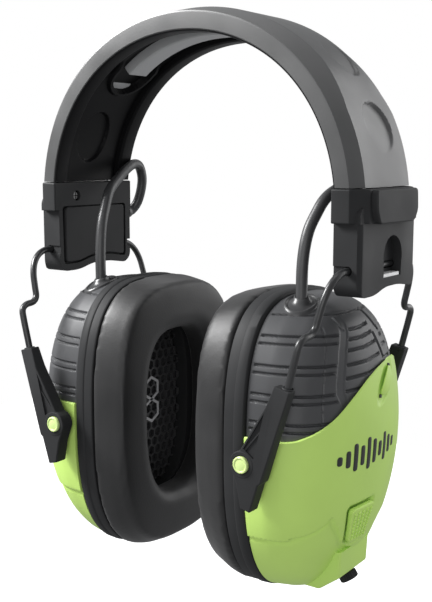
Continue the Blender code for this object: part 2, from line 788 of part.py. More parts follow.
def shell_skin(name, outer_grow, inner_grow, slot):
    """A closed-topped skin over the shell's stations, open towards the head."""
    outer = [shell_ring(station, outer_grow) for station in SHELL_STATIONS]
    inner = [shell_ring(station, inner_grow) for station in SHELL_STATIONS]
    for rings in (inner, outer):
        rings[0] = [(SHELL_X, y, z) for _, y, z in rings[0]]
    return loft(name, inner[::-1] + outer, slot)


def cup_body(grow):
    """The shell's outside as a solid, grown, to fit other pieces against it."""
    rings = [shell_ring(station, grow) for station in SHELL_STATIONS]
    rings[0] = [(SHELL_X - 1.0, y, z) for _, y, z in rings[0]]
    return loft("cup_body", rings, "shell")


def make_shell(name):
    shell = shell_skin(name, 0.0, -SHELL_WALL, "shell")
    x, y = GROMMET_AT
    low, high = GROMMET_Z[0] - 2.0, GROMMET_Z[2] + 4.5
    hole = prism("hole", circle(GROMMET_HOLE, (x, y), 20), "z", low, high, "shell")
    return cut(shell, hole)


def cover_cutter():
    """Everything above the cover's swept top edge."""
    last, first = COVER_EDGE[-1][0], COVER_EDGE[0][0]
    outline = [*COVER_EDGE, (last, -40.0), (first, -40.0)]
    return prism("cover_cutter", outline, "x", 20.0, 100.0, "lime")


def seat_on(surface, at):
    """The frame (matrix, in metres) on the outside of a surface at (y, z), its Z axis pointing out."""
    graph = bpy.context.evaluated_depsgraph_get()
    tree = BVHTree.FromObject(surface, graph)
    start = Vector((0.1, at[0] * MM, at[1] * MM))
    place, normal, _, _ = tree.ray_cast(start, Vector((-1, 0, 0)))
    up = Vector((0, 0, 1))
    across = up.cross(normal).normalized()
    along = normal.cross(across)
    turn = Matrix((across, along, normal)).transposed()
    return Matrix.Translation(place) @ turn.to_4x4()


def seated(name, outline, low, high, frame, slot):
    """A prism whose outline lies on a seat_on frame, from low to high along its Z axis."""
    made = prism(name, outline, "z", low, high, slot)
    made.data.transform(frame)
    return made


def button_outline(grow):
    top, foot, height = (size + grow for size in BUTTON_SHAPE)
    return [(-top, height), (-foot, -height), (foot, -height), (top, height)]


def mic_outline(grow):
    turn = math.radians(MIC_TURN)
    c, s = math.cos(turn), math.sin(turn)
    wide, tall = MIC_HALF[0] + grow, MIC_HALF[1] + grow
    points = [(wide * a, tall * b) for a, b in circle(1.0, count=20)]
    return [(a * c - b * s, a * s + b * c) for a, b in points]


def make_cover(name, frames, with_button):
    cover = shell_skin(name, COVER_STAND_OFF[1], COVER_STAND_OFF[0], "lime")
    span = (-HOLE_REACH, HOLE_REACH)
    cutters = [cover_cutter(), seated("hole", mic_outline(GAP), *span, frames["mic"], "lime")]
    if with_button:
        cutters.append(seated("hole", button_outline(GAP), *span, frames["button"], "lime"))
        cutters.append(make_foot("foot_space", GAP))
    return cut(cover, *cutters)


def make_mic_cover(name, frames):
    return seated(name, mic_outline(0), *MIC_THICK, frames["mic"], "lime")


def cut_button_well(shell, frame):
    """The shallow well and the hole that the button's pad and plunger travel in."""
    well = seated("well", button_outline(GAP), -WELL_DEPTH, HOLE_REACH, frame, "shell")
    outline = circle(PLUNGER_RADIUS + 2 * GAP, count=20)
    hole = seated("hole", outline, -PLUNGER_HOLE_DEPTH, 0.0, frame, "shell")
    return cut(shell, well, hole)


def make_button(name, frames):
    """The press button: a pad above the cover on a smaller plunger that reaches the switch."""
    frame = frames["button"]
    pad = seated(name, button_outline(0), *BUTTON_PAD, frame, "lime")
    plunger = seated("plunger", circle(PLUNGER_RADIUS), *PLUNGER, frame, "lime")
    move_origin(join(pad, plunger), frame.translation / MM)
    return pad


def foot_outline(grow):
    inner, edge, outer, top = FOOT_X
    foot, shoulder, head = FOOT_Z
    return [
        (inner - grow, foot - grow),
        (edge, foot - grow),
        (outer + grow, shoulder - grow),
        (top + grow, head),
        (inner - grow, head),
    ]


def make_foot(name, grow=0.0):
    """The block that stands out under the cover, with a slanted face for the knob."""
    return prism(name, foot_outline(grow), "y", FOOT_Y[0] - grow, FOOT_Y[1] + grow, "lime")


def knob_frame():
    return Matrix.Translation(Vector(KNOB_AT) * MM) @ Matrix.Rotation(math.radians(180 - KNOB_TILT), 4, "Y")


def make_foot_block(name):
    foot = make_foot(name)
    body = cup_body(GAP)
    radius, deep = STEM_SEAT
    seat = seated("seat", circle(radius), -deep, HOLE_REACH, knob_frame(), "lime")
    return cut(foot, body, seat)


def make_knob(name):
    """A ridged turning knob on a short stem, its origin on its axis."""
    ridged = []
    for i in range(2 * KNOB_RIDGES):
        radius = KNOB_RADIUS - (KNOB_RIDGE_DEPTH if i % 2 else 0.0)
        turn = math.pi * i / KNOB_RIDGES
        ridged.append((radius * math.cos(turn), radius * math.sin(turn)))
    knob = seated(name, ridged, 0.4, KNOB_HEIGHT, knob_frame(), "charcoal")
    stem = seated("stem", circle(STEM_RADIUS), *STEM, knob_frame(), "charcoal")
    move_origin(join(knob, stem), KNOB_AT)
    return knob


def make_grommet(name):
    """An oval flange seated on the cup's crown, with a short neck round the cable and a plug below."""
    x, y = GROMMET_AT
    low, top, neck_top = GROMMET_Z
    along, across = GROMMET_FLANGE
    outline = [(x + along * c, y + across * s) for c, s in circle(1.0, count=24)]
    flange = prism(name, outline, "z", low, top, "cable")
    cut(flange, cup_body(GAP))
    neck = prism("neck", circle(GROMMET_NECK, (x, y), 20), "z", low - 1.5, neck_top, "cable")
    join(flange, neck)
    bore = prism("bore", circle(GROMMET_BORE, (x, y)), "z", LOOP_ROUTE[0][2] - 0.4, neck_top + 6.5, "cable")
    return cut(flange, bore)


def make_cable_loop(name):
    return tube(name, smooth_route(LOOP_ROUTE, 3.6), LOOP_RADIUS, "cable", 2)


# Inside the cups ---------------------------------------------------------------------------------


def make_grille(name):
    """The perforated panel behind the ear opening, here without its holes."""
    size = (EAR_HALF_WIDTH + GRILLE_GROW, EAR_HALF_HEIGHT + GRILLE_GROW)
    rings = [cup_ring(x, *size, EAR_Z) for x in GRILLE_X]
    return loft(name, rings, "foam")


def make_foam(name):
    """The sound-absorbing pad that lines the shell, with a well for the driver."""
    outer = [cup_ring(x, *FOAM_SIZE, CUP_Z, FOAM_POWER) for x in reversed(FOAM_X)]
    inner = [cup_ring(x, *FOAM_WELL, EAR_Z) for x in FOAM_X]
    return loft(name, outer + inner, "foam", loop=True)


def make_driver(name):
    front, step, back = DRIVER_X
    basket = prism(name, circle(DRIVER_RADIUS[0], (0.0, EAR_Z), 24), "x", front, step, "steel")
    magnet = prism("magnet", circle(DRIVER_RADIUS[1], (0.0, EAR_Z), 24), "x", step - 0.5, back, "steel")
    return join(basket, magnet)


def make_circuit_board(name):
    return prism(name, rectangle(*BOARD_YZ), "x", *BOARD_X, "board")


def make_battery(name):
    wide, tall = BATTERY_SIZE
    points = [(rounded_share(a), rounded_share(b)) for a, b in circle(1.0, count=24, turn=math.pi / 24)]
    return prism(name, [(wide * a, EAR_Z + tall * b) for a, b in points], "x", *BATTERY_X, "battery")


def rounded_share(value):
    """Pushes a cosine or sine out from the circle towards a square with rounded corners."""
    return math.copysign(abs(value) ** (2 / BATTERY_POWER), value)


def build():
    clear_scene()
    MATERIALS.update(make_materials())
    make_headband_shell()
    make_headband_liner()
    make_crown_rib()
    make_spring_strip()
    make_band_lead()
    both_sides(make_end_piece, "end_piece")
    both_sides(make_end_cover, "end_cover")
    both_sides(make_end_screw, "end_screw")
    both_sides(make_bail_wire, "bail_wire")
    for part, maker in (("arm", make_front_arm), ("pin", make_front_pin)):
        for front in both_sides(maker, f"front_{part}"):
            mirrored(front, "y", front.name.replace("front", "rear"))
    for part, maker in (
        ("cushion", make_cushion),
        ("cushion_plate", make_cushion_plate),
        ("rim", make_rim),
        ("shell", make_shell),
        ("grille", make_grille),
        ("foam_liner", make_foam),
        ("driver", make_driver),
        ("grommet", make_grommet),
        ("cable_loop", make_cable_loop),
    ):
        both_sides(maker, part)
    body = cup_body(COVER_STAND_OFF[1])
    frames = {"mic": seat_on(body, MIC_AT), "button": seat_on(body, BUTTON_AT)}
    bpy.data.objects.remove(body, do_unlink=True)
    both_sides(make_mic_cover, "mic_cover", frames)
    plain = make_cover("plain_cover", frames, False)
    mirrored(plain, "x", f"{RIGHT}_cover")
    bpy.data.objects.remove(plain, do_unlink=True)
    make_cover(f"{LEFT}_cover", frames, True)
    make_button(f"{LEFT}_button", frames)
    cut_button_well(bpy.data.objects[f"{LEFT}_shell"], frames["button"])
    make_foot_block(f"{LEFT}_foot_block")
    make_knob(f"{LEFT}_knob")
    make_circuit_board(f"{LEFT}_circuit_board")
    battery = make_battery("battery_left_hand")
    mirrored(battery, "x", f"{RIGHT}_battery")
    bpy.data.objects.remove(battery, do_unlink=True)


build()
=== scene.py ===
"""The looks of an over-ear hearing protector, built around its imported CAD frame.

Sizes are in millimetres: +X is the wearer's left, -Y the front and +Z up. Each cup, end piece, arm and
cable is shaped for the +X side and mirrored to the other. Driving sizes repeat the CAD's.
"""

import math

import bmesh
import bpy
import numpy as np
from mathutils import Matrix, Vector
from mathutils.bvhtree import BVHTree


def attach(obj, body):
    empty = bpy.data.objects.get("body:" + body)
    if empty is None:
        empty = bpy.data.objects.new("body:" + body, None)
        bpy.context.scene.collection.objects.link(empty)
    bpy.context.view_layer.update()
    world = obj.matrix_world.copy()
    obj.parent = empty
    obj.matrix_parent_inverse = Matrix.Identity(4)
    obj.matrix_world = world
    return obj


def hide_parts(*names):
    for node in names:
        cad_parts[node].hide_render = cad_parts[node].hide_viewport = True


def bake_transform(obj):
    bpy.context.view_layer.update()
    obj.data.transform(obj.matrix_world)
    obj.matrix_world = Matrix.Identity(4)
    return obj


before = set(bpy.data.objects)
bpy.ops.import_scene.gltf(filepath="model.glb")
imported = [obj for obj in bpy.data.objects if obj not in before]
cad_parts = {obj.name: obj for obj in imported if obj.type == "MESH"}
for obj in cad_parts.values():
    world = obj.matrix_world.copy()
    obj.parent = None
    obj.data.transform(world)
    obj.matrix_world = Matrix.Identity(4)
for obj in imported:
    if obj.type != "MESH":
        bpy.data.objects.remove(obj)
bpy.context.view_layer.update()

MM = 0.001
LEFT, RIGHT = "left", "right"
SHARP = 20.0

# Camera: where it looks, from how far and from which side.
CAMERA_TARGET = (0.0, 0.0, -91.3)
CAMERA_DISTANCE = 347.9
CAMERA_AZIMUTH = 35.243
CAMERA_ELEVATION = 8.489
CAMERA_LENS = 58.35

# Lights: place, what each is aimed at, its two sizes and its power.
MIDDLE = (0.0, 0.0, -90.0)
LIGHTS = {
    "key": ((-380.0, -250.0, 250.0), MIDDLE, (210.0, 210.0), 7.2),
    "top": ((40.0, 60.0, 420.0), MIDDLE, (300.0, 300.0), 0.6),
    "rear": ((260.0, 420.0, 40.0), (40.0, 0.0, -100.0), (400.0, 460.0), 1.15),
    "front": ((200.0, -420.0, -60.0), (40.0, 0.0, -140.0), (300.0, 300.0), 0.5),
}
WORLD_COLOUR = (0.97, 0.98, 1.0)
WORLD_STRENGTH = 0.42
FLOOR_Z = -620.0
FLOOR_REACH = 1500.0

# Headband arch: each pair of radii is at the crown and at the ears.
ARCH_Z = -56.3
CROWN_R = (65.0, 66.0)
EDGE_R = (62.8, 63.3)
INNER_R = (56.3, 57.8)
SHOULDER = 0.7
BAND_HALF_WIDTH = 21.0
FLAT_HALF_WIDTH = (11.2, 15.6)
CHANNEL_HALF_WIDTH = 14.0
CHANNEL_DEPTH = 3.1
BAND_END_Z = -49.6
CHAMFER = ((0.03, 0.02), (0.06, 0.0), (0.5, 0.0), (0.95, 0.0), (0.985, 0.0))

# Pockets in the band's flat: degrees from the crown, y, and half sizes.
MM_PER_DEGREE = 1.148
ROUND_POCKET = (67.5, 1.5, 8.6)
LENS_POCKET = (43.5, 4.0, 8.862, 6.4)
LENS_DEPTH = 0.9

# Liner: its slot's end (degrees, y, half width), its oval recess (degrees, y, half sizes), the lining beside
# it as (radii, depth, y), and the crown's rib.
LINER_DEPTH = 6.0
LINER_HALF_WIDTH = 13.5
LINER_MM_PER_DEGREE = 1.05
SLOT_END = (40.0, 1.5, 9.2)
OVAL = (67.6, -2.0, 10.0, 8.0)
LINING = (
    (INNER_R, -0.62, 13.95),
    (INNER_R, -0.1, 14.6),
    (INNER_R, 0.0, 15.2),
    (INNER_R, 0.0, 20.0),
    (INNER_R, -0.15, 20.5),
    (INNER_R, -0.55, 20.75),
    (INNER_R, -0.75, 20.7),
    (INNER_R, -0.75, 14.2),
    (CROWN_R, 4.4, 13.6),
    (CROWN_R, 4.4, 13.5),
)
RIB_DEPTH = (4.2, 8.2)
RIB_Y = (-3.4, 6.4)
RIB_HALF_ANGLE = 38.8
# The pad at the slot's outer end, as degrees and section: the band's grey floor there, lightened as a painted
# highlight.
SLOT_HIGHLIGHT_DEGREES = (45.6, 48.3)
SLOT_HIGHLIGHT_SECTION = ((CROWN_R, 4.4, -3.5), (CROWN_R, 4.4, 6.5), (CROWN_R, 4.9, 6.5), (CROWN_R, 4.9, -3.5))

# End piece on each leg of the band: a collar over a block. The recess and the cover plate are given by their
# front and rear y, top and bottom z and depth, the window's foot by its front and rear y and its z, the
# near-white strip along the window's foot, a painted highlight for its lit bevel, by its spans in y and z,
# and the notches by their half height and depth.
COLLAR_TOP = -49.9
COLLAR_BOTTOM = -60.3
COLLAR_OUTER_X = 67.4
COLLAR_EDGE_X = 63.4
COLLAR_HALF_WIDTH = 21.5
BLOCK_BOTTOM = -82.9
BLOCK_INNER_X = 57.2
BLOCK_OUTER_X = 66.3
BLOCK_Y = (-19.4, 20.7)
BLOCK_WAVE = 2.0
BUMP_OUTER_X = 69.4
BUMP_SHAPE = (
    (-14.6, COLLAR_TOP - 0.25),
    (-14.2, COLLAR_BOTTOM + 4.0),
    (-12.0, COLLAR_BOTTOM - 0.3),
    (12.8, COLLAR_BOTTOM - 0.5),
    (15.6, COLLAR_BOTTOM + 3.0),
    (15.0, COLLAR_TOP - 0.25),
)
CROSSBAR_X, CROSSBAR_Z = 62.2, -74.6
CROSSBAR_HOLE = 1.5
NOTCH = (1.4, 2.6)
WINDOW_AT = (3.5, -71.6)
WINDOW_RADIUS = 6.7
WINDOW_FOOT = (-2.8, 9.6, -78.0)
WINDOW_DEPTH = 3.2
WINDOW_HIGHLIGHT = (-2.9, 8.9, -78.1, -76.9)
RECESS = (-17.6, 18.0, -58.6, -80.3, 2.0)
COVER_PLATE = (-16.0, 17.0, -59.1, -79.6, 1.7)
SCREW_AT = (-9.7, -54.9)
SCREW_RADIUS = 1.6
SCREW_SLOT = (0.25, 1.2)
ENTRY_AT = (60.0, -62.6)
ENTRY_RADIUS = 2.0
CABLE_COLLAR = ((17.6, 1.9), (21.3, 1.95), (21.5, 2.5), (22.6, 2.5), (22.8, 2.35), (23.4, 2.2), (23.5, 1.9))

# Bail and arms, drawn upright about the crossbar and then leant in at the foot.
BAIL_LEAN = 14.0
WIRE_RADIUS = 1.15
WIRE_Y = 39.4
WIRE_FOOT = -41.0
WIRE_SIDE = (
    (0.0, 12.0, 0.0),
    (0.0, 20.0, 0.0),
    (0.0, 23.4, -0.4),
    (0.0, 26.6, -2.0),
    (0.0, 29.0, -4.8),
    (0.0, 30.4, -8.6),
    (0.0, 30.9, -13.0),
    (0.0, 31.3, -16.6),
    (0.0, 33.2, -18.4),
    (0.0, 36.8, -19.0),
    (0.0, 39.0, -20.6),
    (0.0, WIRE_Y, -24.0),
    (0.0, WIRE_Y, -32.0),
    (0.0, WIRE_Y, WIRE_FOOT),
)
ARM_Y = (37.7, 42.6)
ARM_TOP = -34.6
ARM_FOOT = -76.0
ARM_NECK = 3.0
BAR_X = (-4.4, 2.4)
PIN_AT = (-7.9, -62.3)
PIN_RADIUS = 2.0
PIN_HEAD_RADIUS = 2.65
BOSS_RADIUS = 4.3
# The pin's turned profile, as (y past the arm's outer face, radius); its first place is the shaft's end.
PIN_SHAFT_END = -35.2
PIN_HEAD = (
    (0.3, PIN_RADIUS),
    (0.3, PIN_HEAD_RADIUS),
    (-0.7, PIN_HEAD_RADIUS),
    (-0.95, PIN_HEAD_RADIUS - 0.3),
    (-0.9, PIN_HEAD_RADIUS - 0.6),
    (-0.7, PIN_HEAD_RADIUS - 0.8),
    (-0.8, PIN_HEAD_RADIUS - 1.3),
    (-0.85, 0.05),
)

# Ear cup: outlines in the Y-Z plane at stations along X, as (x, width, height, lift, squareness).
CUP_Z = -134.2
CUP_HALF_WIDTH = 34.6
CUP_HALF_HEIGHT = 49.2
CUP_EGG = 0.10
CUP_POWER = 3.0
SHELL_X = 36.0
SHELL_STATIONS = (
    (36.0, 1.00, 1.00, 0.0, 3.0),
    (42.0, 1.005, 1.0, 0.0, 2.7),
    (48.0, 0.98, 0.98, 0.0, 2.5),
    (53.0, 0.91, 0.925, 0.3, 2.4),
    (57.2, 0.79, 0.835, 0.8, 2.3),
    (60.4, 0.63, 0.69, 1.2, 2.2),
    (62.6, 0.42, 0.49, 1.6, 2.1),
    (63.6, 0.20, 0.24, 2.0, 2.0),
    (63.9, 0.0, 0.0, 2.0, 2.0),
)
CHIN = 0.13
SHELL_WALL = 2.2
RIM_PROFILE = (
    (35.6, 0.2),
    (35.35, 0.9),
    (35.0, 1.15),
    (32.2, 1.3),
    (31.9, 1.2),
    (31.7, 1.0),
    (28.5, 1.1),
    (28.2, 1.0),
    (28.0, 0.8),
)
RIM_INSIDE = (27.0, 42.0)
EAR_Z = -133.0
EAR_HALF_WIDTH = 18.5
EAR_HALF_HEIGHT = 32.0

# The shell's tread, as lines seen from the side: places along Z and the line's Y there.
FRONT_STRIP = (
    (-84.0, -8.5),
    (-89.0, -9.5),
    (-94.6, -11.2),
    (-100.0, -14.4),
    (-105.8, -16.8),
    (-110.2, -18.2),
    (-113.2, -18.5),
    (-116.6, -17.0),
    (-124.0, -13.0),
)
REAR_STRIP = (
    (-84.0, 6.0),
    (-89.0, 7.5),
    (-94.6, 11.0),
    (-100.0, 15.0),
    (-105.8, 18.0),
    (-110.2, 19.6),
    (-113.2, 20.0),
    (-116.6, 19.0),
    (-124.0, 16.0),
)
FINE_LINE = (
    (-93.0, -17.4),
    (-98.0, -19.3),
    (-103.7, -21.9),
    (-109.5, -23.8),
    (-115.5, -25.0),
    (-126.0, -26.0),
)
STEEP_LINES = (
    ((-89.4, 4.2), (-94.7, 7.6), (-96.7, 9.6)),
    ((-97.1, 4.4), (-103.4, 7.4), (-105.5, 8.4)),
)
STRIP_HALF_WIDTH = 1.9
PITCH = 8.7
SIDE_GROOVES = (-95.5, -97.8)
SIDE_STEP = -100.2
TOP_GROOVES = (-94.3, -97.2, -100.4, -104.7, -108.7, -112.6, -116.5)
CROWN_LINE_Z = -89.6
CAP_FOOT_Z = -92.9
TREAD_FOOT_Z = -128.0

# The cover's swept top edge, and the raised step across it, as (y, z) seen from the side.
COVER_EDGE = (
    (-60.0, -127.5),
    (-37.0, -126.6),
    (-31.0, -124.9),
    (-23.0, -120.4),
    (-14.6, -114.6),
    (-6.0, -109.8),
    (3.0, -107.0),
    (13.4, -106.0),
    (22.0, -107.6),
    (33.0, -113.0),
    (60.0, -117.0),
)
COVER_STEP = (
    (-60.0, -159.9),
    (-33.2, -159.8),
    (-31.0, -158.6),
    (-28.0, -157.6),
    (-25.2, -156.2),
    (-22.5, -154.3),
    (-20.6, -152.6),
    (-17.6, -156.2),
    (-13.8, -160.9),
    (-10.6, -165.0),
    (-2.0, -168.0),
    (6.0, -165.0),
    (14.0, -160.0),
    (33.0, -159.8),
    (60.0, -159.8),
)
COVER_RISE = 1.3
COVER_OUT = 1.35
COVER_UNDER = 0.1
COVER_POLE = 0.9965
STEP_DROP = 0.62
STEP_GROOVE = 0.4
EDGE_ROUND = 0.35
LEAF_MOAT = 0.6
BUTTON_MOAT = 0.9
MOST_SUNK = 1.02

# Controls on the cover. The button's three sizes are its half widths at top and foot and its half height.
BUTTON_AT = (-6.5, -158.0)
BUTTON_HALF = (6.7, 4.4, 6.4)
BUTTON_GAP = 0.2
BUTTON_Z = (-1.2, 0.75)
WELL_IN_FACE, WELL_IN_UNDERSIDE, WELL_IN_SHELL = 1.4, 1.35, 1.7
DOT_ROWS = 8
DOTS_IN_ROW = 5
DOT_PITCH = 1.32
DOT_RADIUS = 0.56
DOT_BASE, DOT_RISE = 0.65, 0.6
DOTS_TOP = 4.6
MIC_AT = (5.6, -112.6)
MIC_HALF = (2.8, 7.2)
MIC_TURN = -47.0
PORT_RADIUS = 0.6
PORT_AT = 6.3
PORT_Z = (-1.2, -0.3)
FOOT_Y = (-13.0, 7.0)
FOOT_X = (44.0, 50.5, 58.0, 58.6)
FOOT_Z = (-181.6, -176.0, -165.2)
KNOB_AT = (54.4, -1.0, -178.6)
KNOB_TILT = 34.5
KNOB_RADIUS = 3.2
KNOB_HEIGHT = 3.0
KNOB_RIDGES = 24
KNOB_RIDGE = 0.16
KNOB_PROFILE = (
    (0.3, 0.15),
    (0.5, 0.0),
    (KNOB_HEIGHT - 0.5, 0.0),
    (KNOB_HEIGHT - 0.1, 0.45),
    (KNOB_HEIGHT, 0.9),
    (KNOB_HEIGHT - 0.3, 1.2),
    (KNOB_HEIGHT - 0.3, 3.1),
)
BAR_HEIGHTS = (3.0, 5.5, 9.0, 6.5, 10.5, 8.0, 5.0, 9.5, 6.0, 3.5)
BARS_FROM = (-21.0, -133.8)
BAR_PITCH = 3.45
BAR_HALF_WIDTH = 1.0
BAR_ROUND = 0.9
BAR_LIFT = 0.06
BAR_THICK = 0.08

# The grommet's oval rings on the cup's crown: half sizes along X and Y, and height above the shell.
GROMMET_AT = (42.8, -13.2)
GROMMET_PROFILE = (
    (5.4, 6.8, -1.2),
    (5.4, 6.8, 0.35),
    (5.2, 6.6, 0.75),
    (4.8, 6.2, 0.9),
    (4.4, 5.8, 0.7),
    (4.2, 5.5, 0.35),
    (3.4, 4.2, 0.4),
    (2.9, 3.2, 0.75),
    (2.6, 2.7, 1.4),
    (2.45, 2.45, 1.9),
    (2.15, 2.15, 2.1),
    (1.9, 1.9, 1.6),
)

# Cushion: rings round the pad, as (x, growth, drop) outside and (x, growth) inside.
CUSHION_X = (14.9, 27.7)
CUSHION_POWER = 3.1
CUSHION_OUTSIDE = (
    (CUSHION_X[1] + 0.1, 0.9, 0.0),
    (CUSHION_X[1] - 0.3, 1.2, 0.0),
    (CUSHION_X[1] - 1.8, 1.15, 0.1),
    (CUSHION_X[1] - 6.0, 0.6, 0.5),
    (CUSHION_X[0] + 4.0, 0.0, 1.4),
    (CUSHION_X[0] + 1.8, -0.4, 1.9),
    (CUSHION_X[0] + 0.5, -1.0, 2.2),
    (CUSHION_X[0], -2.4, 2.4),
    (CUSHION_X[0] - 0.1, -6.0, 2.4),
)
CUSHION_INSIDE = (
    (CUSHION_X[0] + 0.1, 5.2),
    (CUSHION_X[0] + 1.2, 2.4),
    (CUSHION_X[0] + 3.8, 0.6),
    (CUSHION_X[1] - 5.0, 0.6),
    (CUSHION_X[1], 1.6),
)
CUSHION_HOLE_SHIFT = (1.4, -0.5)
VOXEL = 1.4
HELD_BEYOND_X = 26.2
MOST_SWELL = 0.9
SWELL_FRAMES = 20
PRESSURE = 1.6
SEAM_RADIUS = 0.3

# Grille, its printed mark and the foam behind.
GRILLE_X = 33.9
CELL_PITCH = 3.9
CELL_BAR = 0.75
GRILLE_THICK = 1.0
MARK_HEXAGONS = ((4.0, -128.6), (4.0, -137.2))
MARK_RADIUS = 4.9
MARK_STROKE = 1.1
FOAM_PROFILE = ((2.2, 0.05), (2.0, 0.5), (1.6, 1.0), (0.9, 1.0))

# The cable loop's route, the CAD's own points, and the shares of it where one mesh ends and the next begins.
CABLE_RADIUS = 1.9
LOOP_ROUTE = (
    (42.8, -13.2, -87.6),
    (42.9, -13.0, -74.3),
    (43.5, -11.3, -65.0),
    (44.6, -8.1, -58.8),
    (46.3, -3.6, -53.0),
    (49.3, 4.7, -48.8),
    (52.4, 13.1, -45.5),
    (54.3, 20.0, -43.4),
    (55.2, 24.6, -44.3),
    (55.6, 26.8, -48.9),
    (56.6, 27.1, -54.2),
    (58.2, 26.6, -59.0),
    (59.6, 24.6, -62.0),
    (60.0, 21.5, -62.6),
    (60.0, 18.3, -62.6),
)
LOOP_SPLITS = (0.0, 0.28, 0.55, 1.0)


# Materials ---------------------------------------------------------------------------------------


class Finish:
    """A Principled material, with the steps that its textures are built from."""

    def __init__(self, name, colour, roughness, specular=0.5, metallic=0.0, stretch=(1, 1, 1)):
        self.made = bpy.data.materials.new(name)
        self.made.use_nodes = True
        self.nodes, self.links = self.made.node_tree.nodes, self.made.node_tree.links
        self.shader = self.nodes["Principled BSDF"]
        self.colour = colour
        self.set(self.shader, {"Base Color": (*colour, 1), "Roughness": roughness})
        self.set(self.shader, {"Specular IOR Level": specular, "Metallic": metallic})
        place = self.add("ShaderNodeTexCoord").outputs["Object"]
        self.vector = self.add("ShaderNodeMapping", {"Scale": stretch, "Vector": place}).outputs["Vector"]

    def set(self, node, inputs):
        """Gives each named input its constant, or links another node's output to it."""
        for name, value in inputs.items():
            if isinstance(value, bpy.types.NodeSocket):
                self.links.new(value, node.inputs[name])
            else:
                node.inputs[name].default_value = value

    def add(self, kind, inputs=None):
        node = self.nodes.new(kind)
        self.set(node, inputs or {})
        return node

    def noise(self, scale, detail=2.0, roughness=0.5):
        inputs = {"Vector": self.vector, "Scale": scale, "Detail": detail, "Roughness": roughness}
        return self.add("ShaderNodeTexNoise", inputs).outputs["Fac"]

    def spread(self, value, low, high):
        """Maps the middle of a noise's range to low and high."""
        inputs = {"Value": value, "From Min": 0.3, "From Max": 0.7, "To Min": low, "To Max": high}
        return self.add("ShaderNodeMapRange", inputs).outputs["Result"]

    def sheen(self, value, low, high):
        """Lets the roughness wander between low and high."""
        self.set(self.shader, {"Roughness": self.spread(value, low, high)})

    def tint(self, value, amount):
        """Lets the colour wander, darker and lighter, by a share of itself."""
        dark = [c * (1 - amount) for c in self.colour]
        light = [min(1.0, c * (1 + amount)) for c in self.colour]
        mix = self.nodes.new("ShaderNodeMix")
        mix.data_type = "RGBA"
        self.set(mix, {"Factor": self.spread(value, 0, 1), "A": (*dark, 1), "B": (*light, 1)})
        self.set(self.shader, {"Base Color": mix.outputs["Result"]})

    def bump(self, height, strength, depth):
        bump = self.add("ShaderNodeBump", {"Height": height, "Strength": strength, "Distance": depth * MM})
        self.set(self.shader, {"Normal": bump.outputs["Normal"]})


def plastic(name, colour, roughness, grain=0.25, specular=0.5, wander=0.08):
    """Moulded plastic: a fine spark-eroded grain, slow changes of sheen and colour."""
    finish = Finish(name, colour, roughness, specular)
    slow = finish.noise(scale=55.0, detail=3.0)
    finish.sheen(slow, roughness - 0.05, roughness + 0.06)
    finish.tint(slow, wander)
    finish.bump(finish.noise(scale=2600.0, detail=3.0, roughness=0.6), grain, depth=0.05)
    return finish.made


def leatherette(name, colour):
    """Soft coated fabric: small cells with creases between them."""
    finish = Finish(name, colour, roughness=0.5, specular=0.45)
    cells = finish.add("ShaderNodeTexVoronoi", {"Vector": finish.vector, "Scale": 900.0})
    cells.feature = "DISTANCE_TO_EDGE"
    slow = finish.noise(scale=60.0, detail=4.0)
    finish.sheen(slow, 0.42, 0.56)
    finish.tint(slow, 0.12)
    finish.bump(cells.outputs["Distance"], 0.22, depth=0.12)
    finish.set(finish.shader, {"Sheen Weight": 0.08, "Sheen Roughness": 0.5})
    return finish.made


def foam(name, colour):
    """Open foam: rough pores."""
    finish = Finish(name, colour, roughness=0.95, specular=0.15)
    pores = finish.noise(scale=1500.0, detail=6.0, roughness=0.7)
    finish.tint(pores, 0.5)
    finish.bump(pores, 0.9, depth=0.3)
    return finish.made


def metal(name, colour, roughness, stretch=(1, 0.04, 1)):
    """Drawn or brushed metal: streaks along one direction."""
    finish = Finish(name, colour, roughness, metallic=1.0, stretch=stretch)
    streaks = finish.noise(scale=900.0, detail=4.0)
    finish.sheen(streaks, roughness - 0.08, roughness + 0.1)
    finish.tint(streaks, 0.08)
    finish.bump(streaks, 0.15, depth=0.02)
    return finish.made


def lacquered_wire(name, colour):
    """Powder-coated spring wire: satin, with a slight orange peel."""
    finish = Finish(name, colour, roughness=0.34, specular=0.6)
    slow = finish.noise(scale=90.0, detail=3.0)
    finish.sheen(slow, 0.28, 0.42)
    finish.tint(slow, 0.15)
    finish.bump(finish.noise(scale=1100.0), 0.2, depth=0.04)
    return finish.made


def circuit(name, mask, light_mask, copper):
    """A green board with a pattern of copper tracks under its mask."""
    finish = Finish(name, mask, roughness=0.4)
    colours = {"Color1": (*mask, 1), "Color2": (*light_mask, 1), "Mortar": (*copper, 1)}
    tracks = finish.add("ShaderNodeTexBrick", {"Vector": finish.vector, "Scale": 260.0, **colours})
    finish.set(finish.shader, {"Base Color": tracks.outputs["Color"]})
    finish.bump(tracks.outputs["Fac"], 0.3, depth=0.05)
    return finish.made


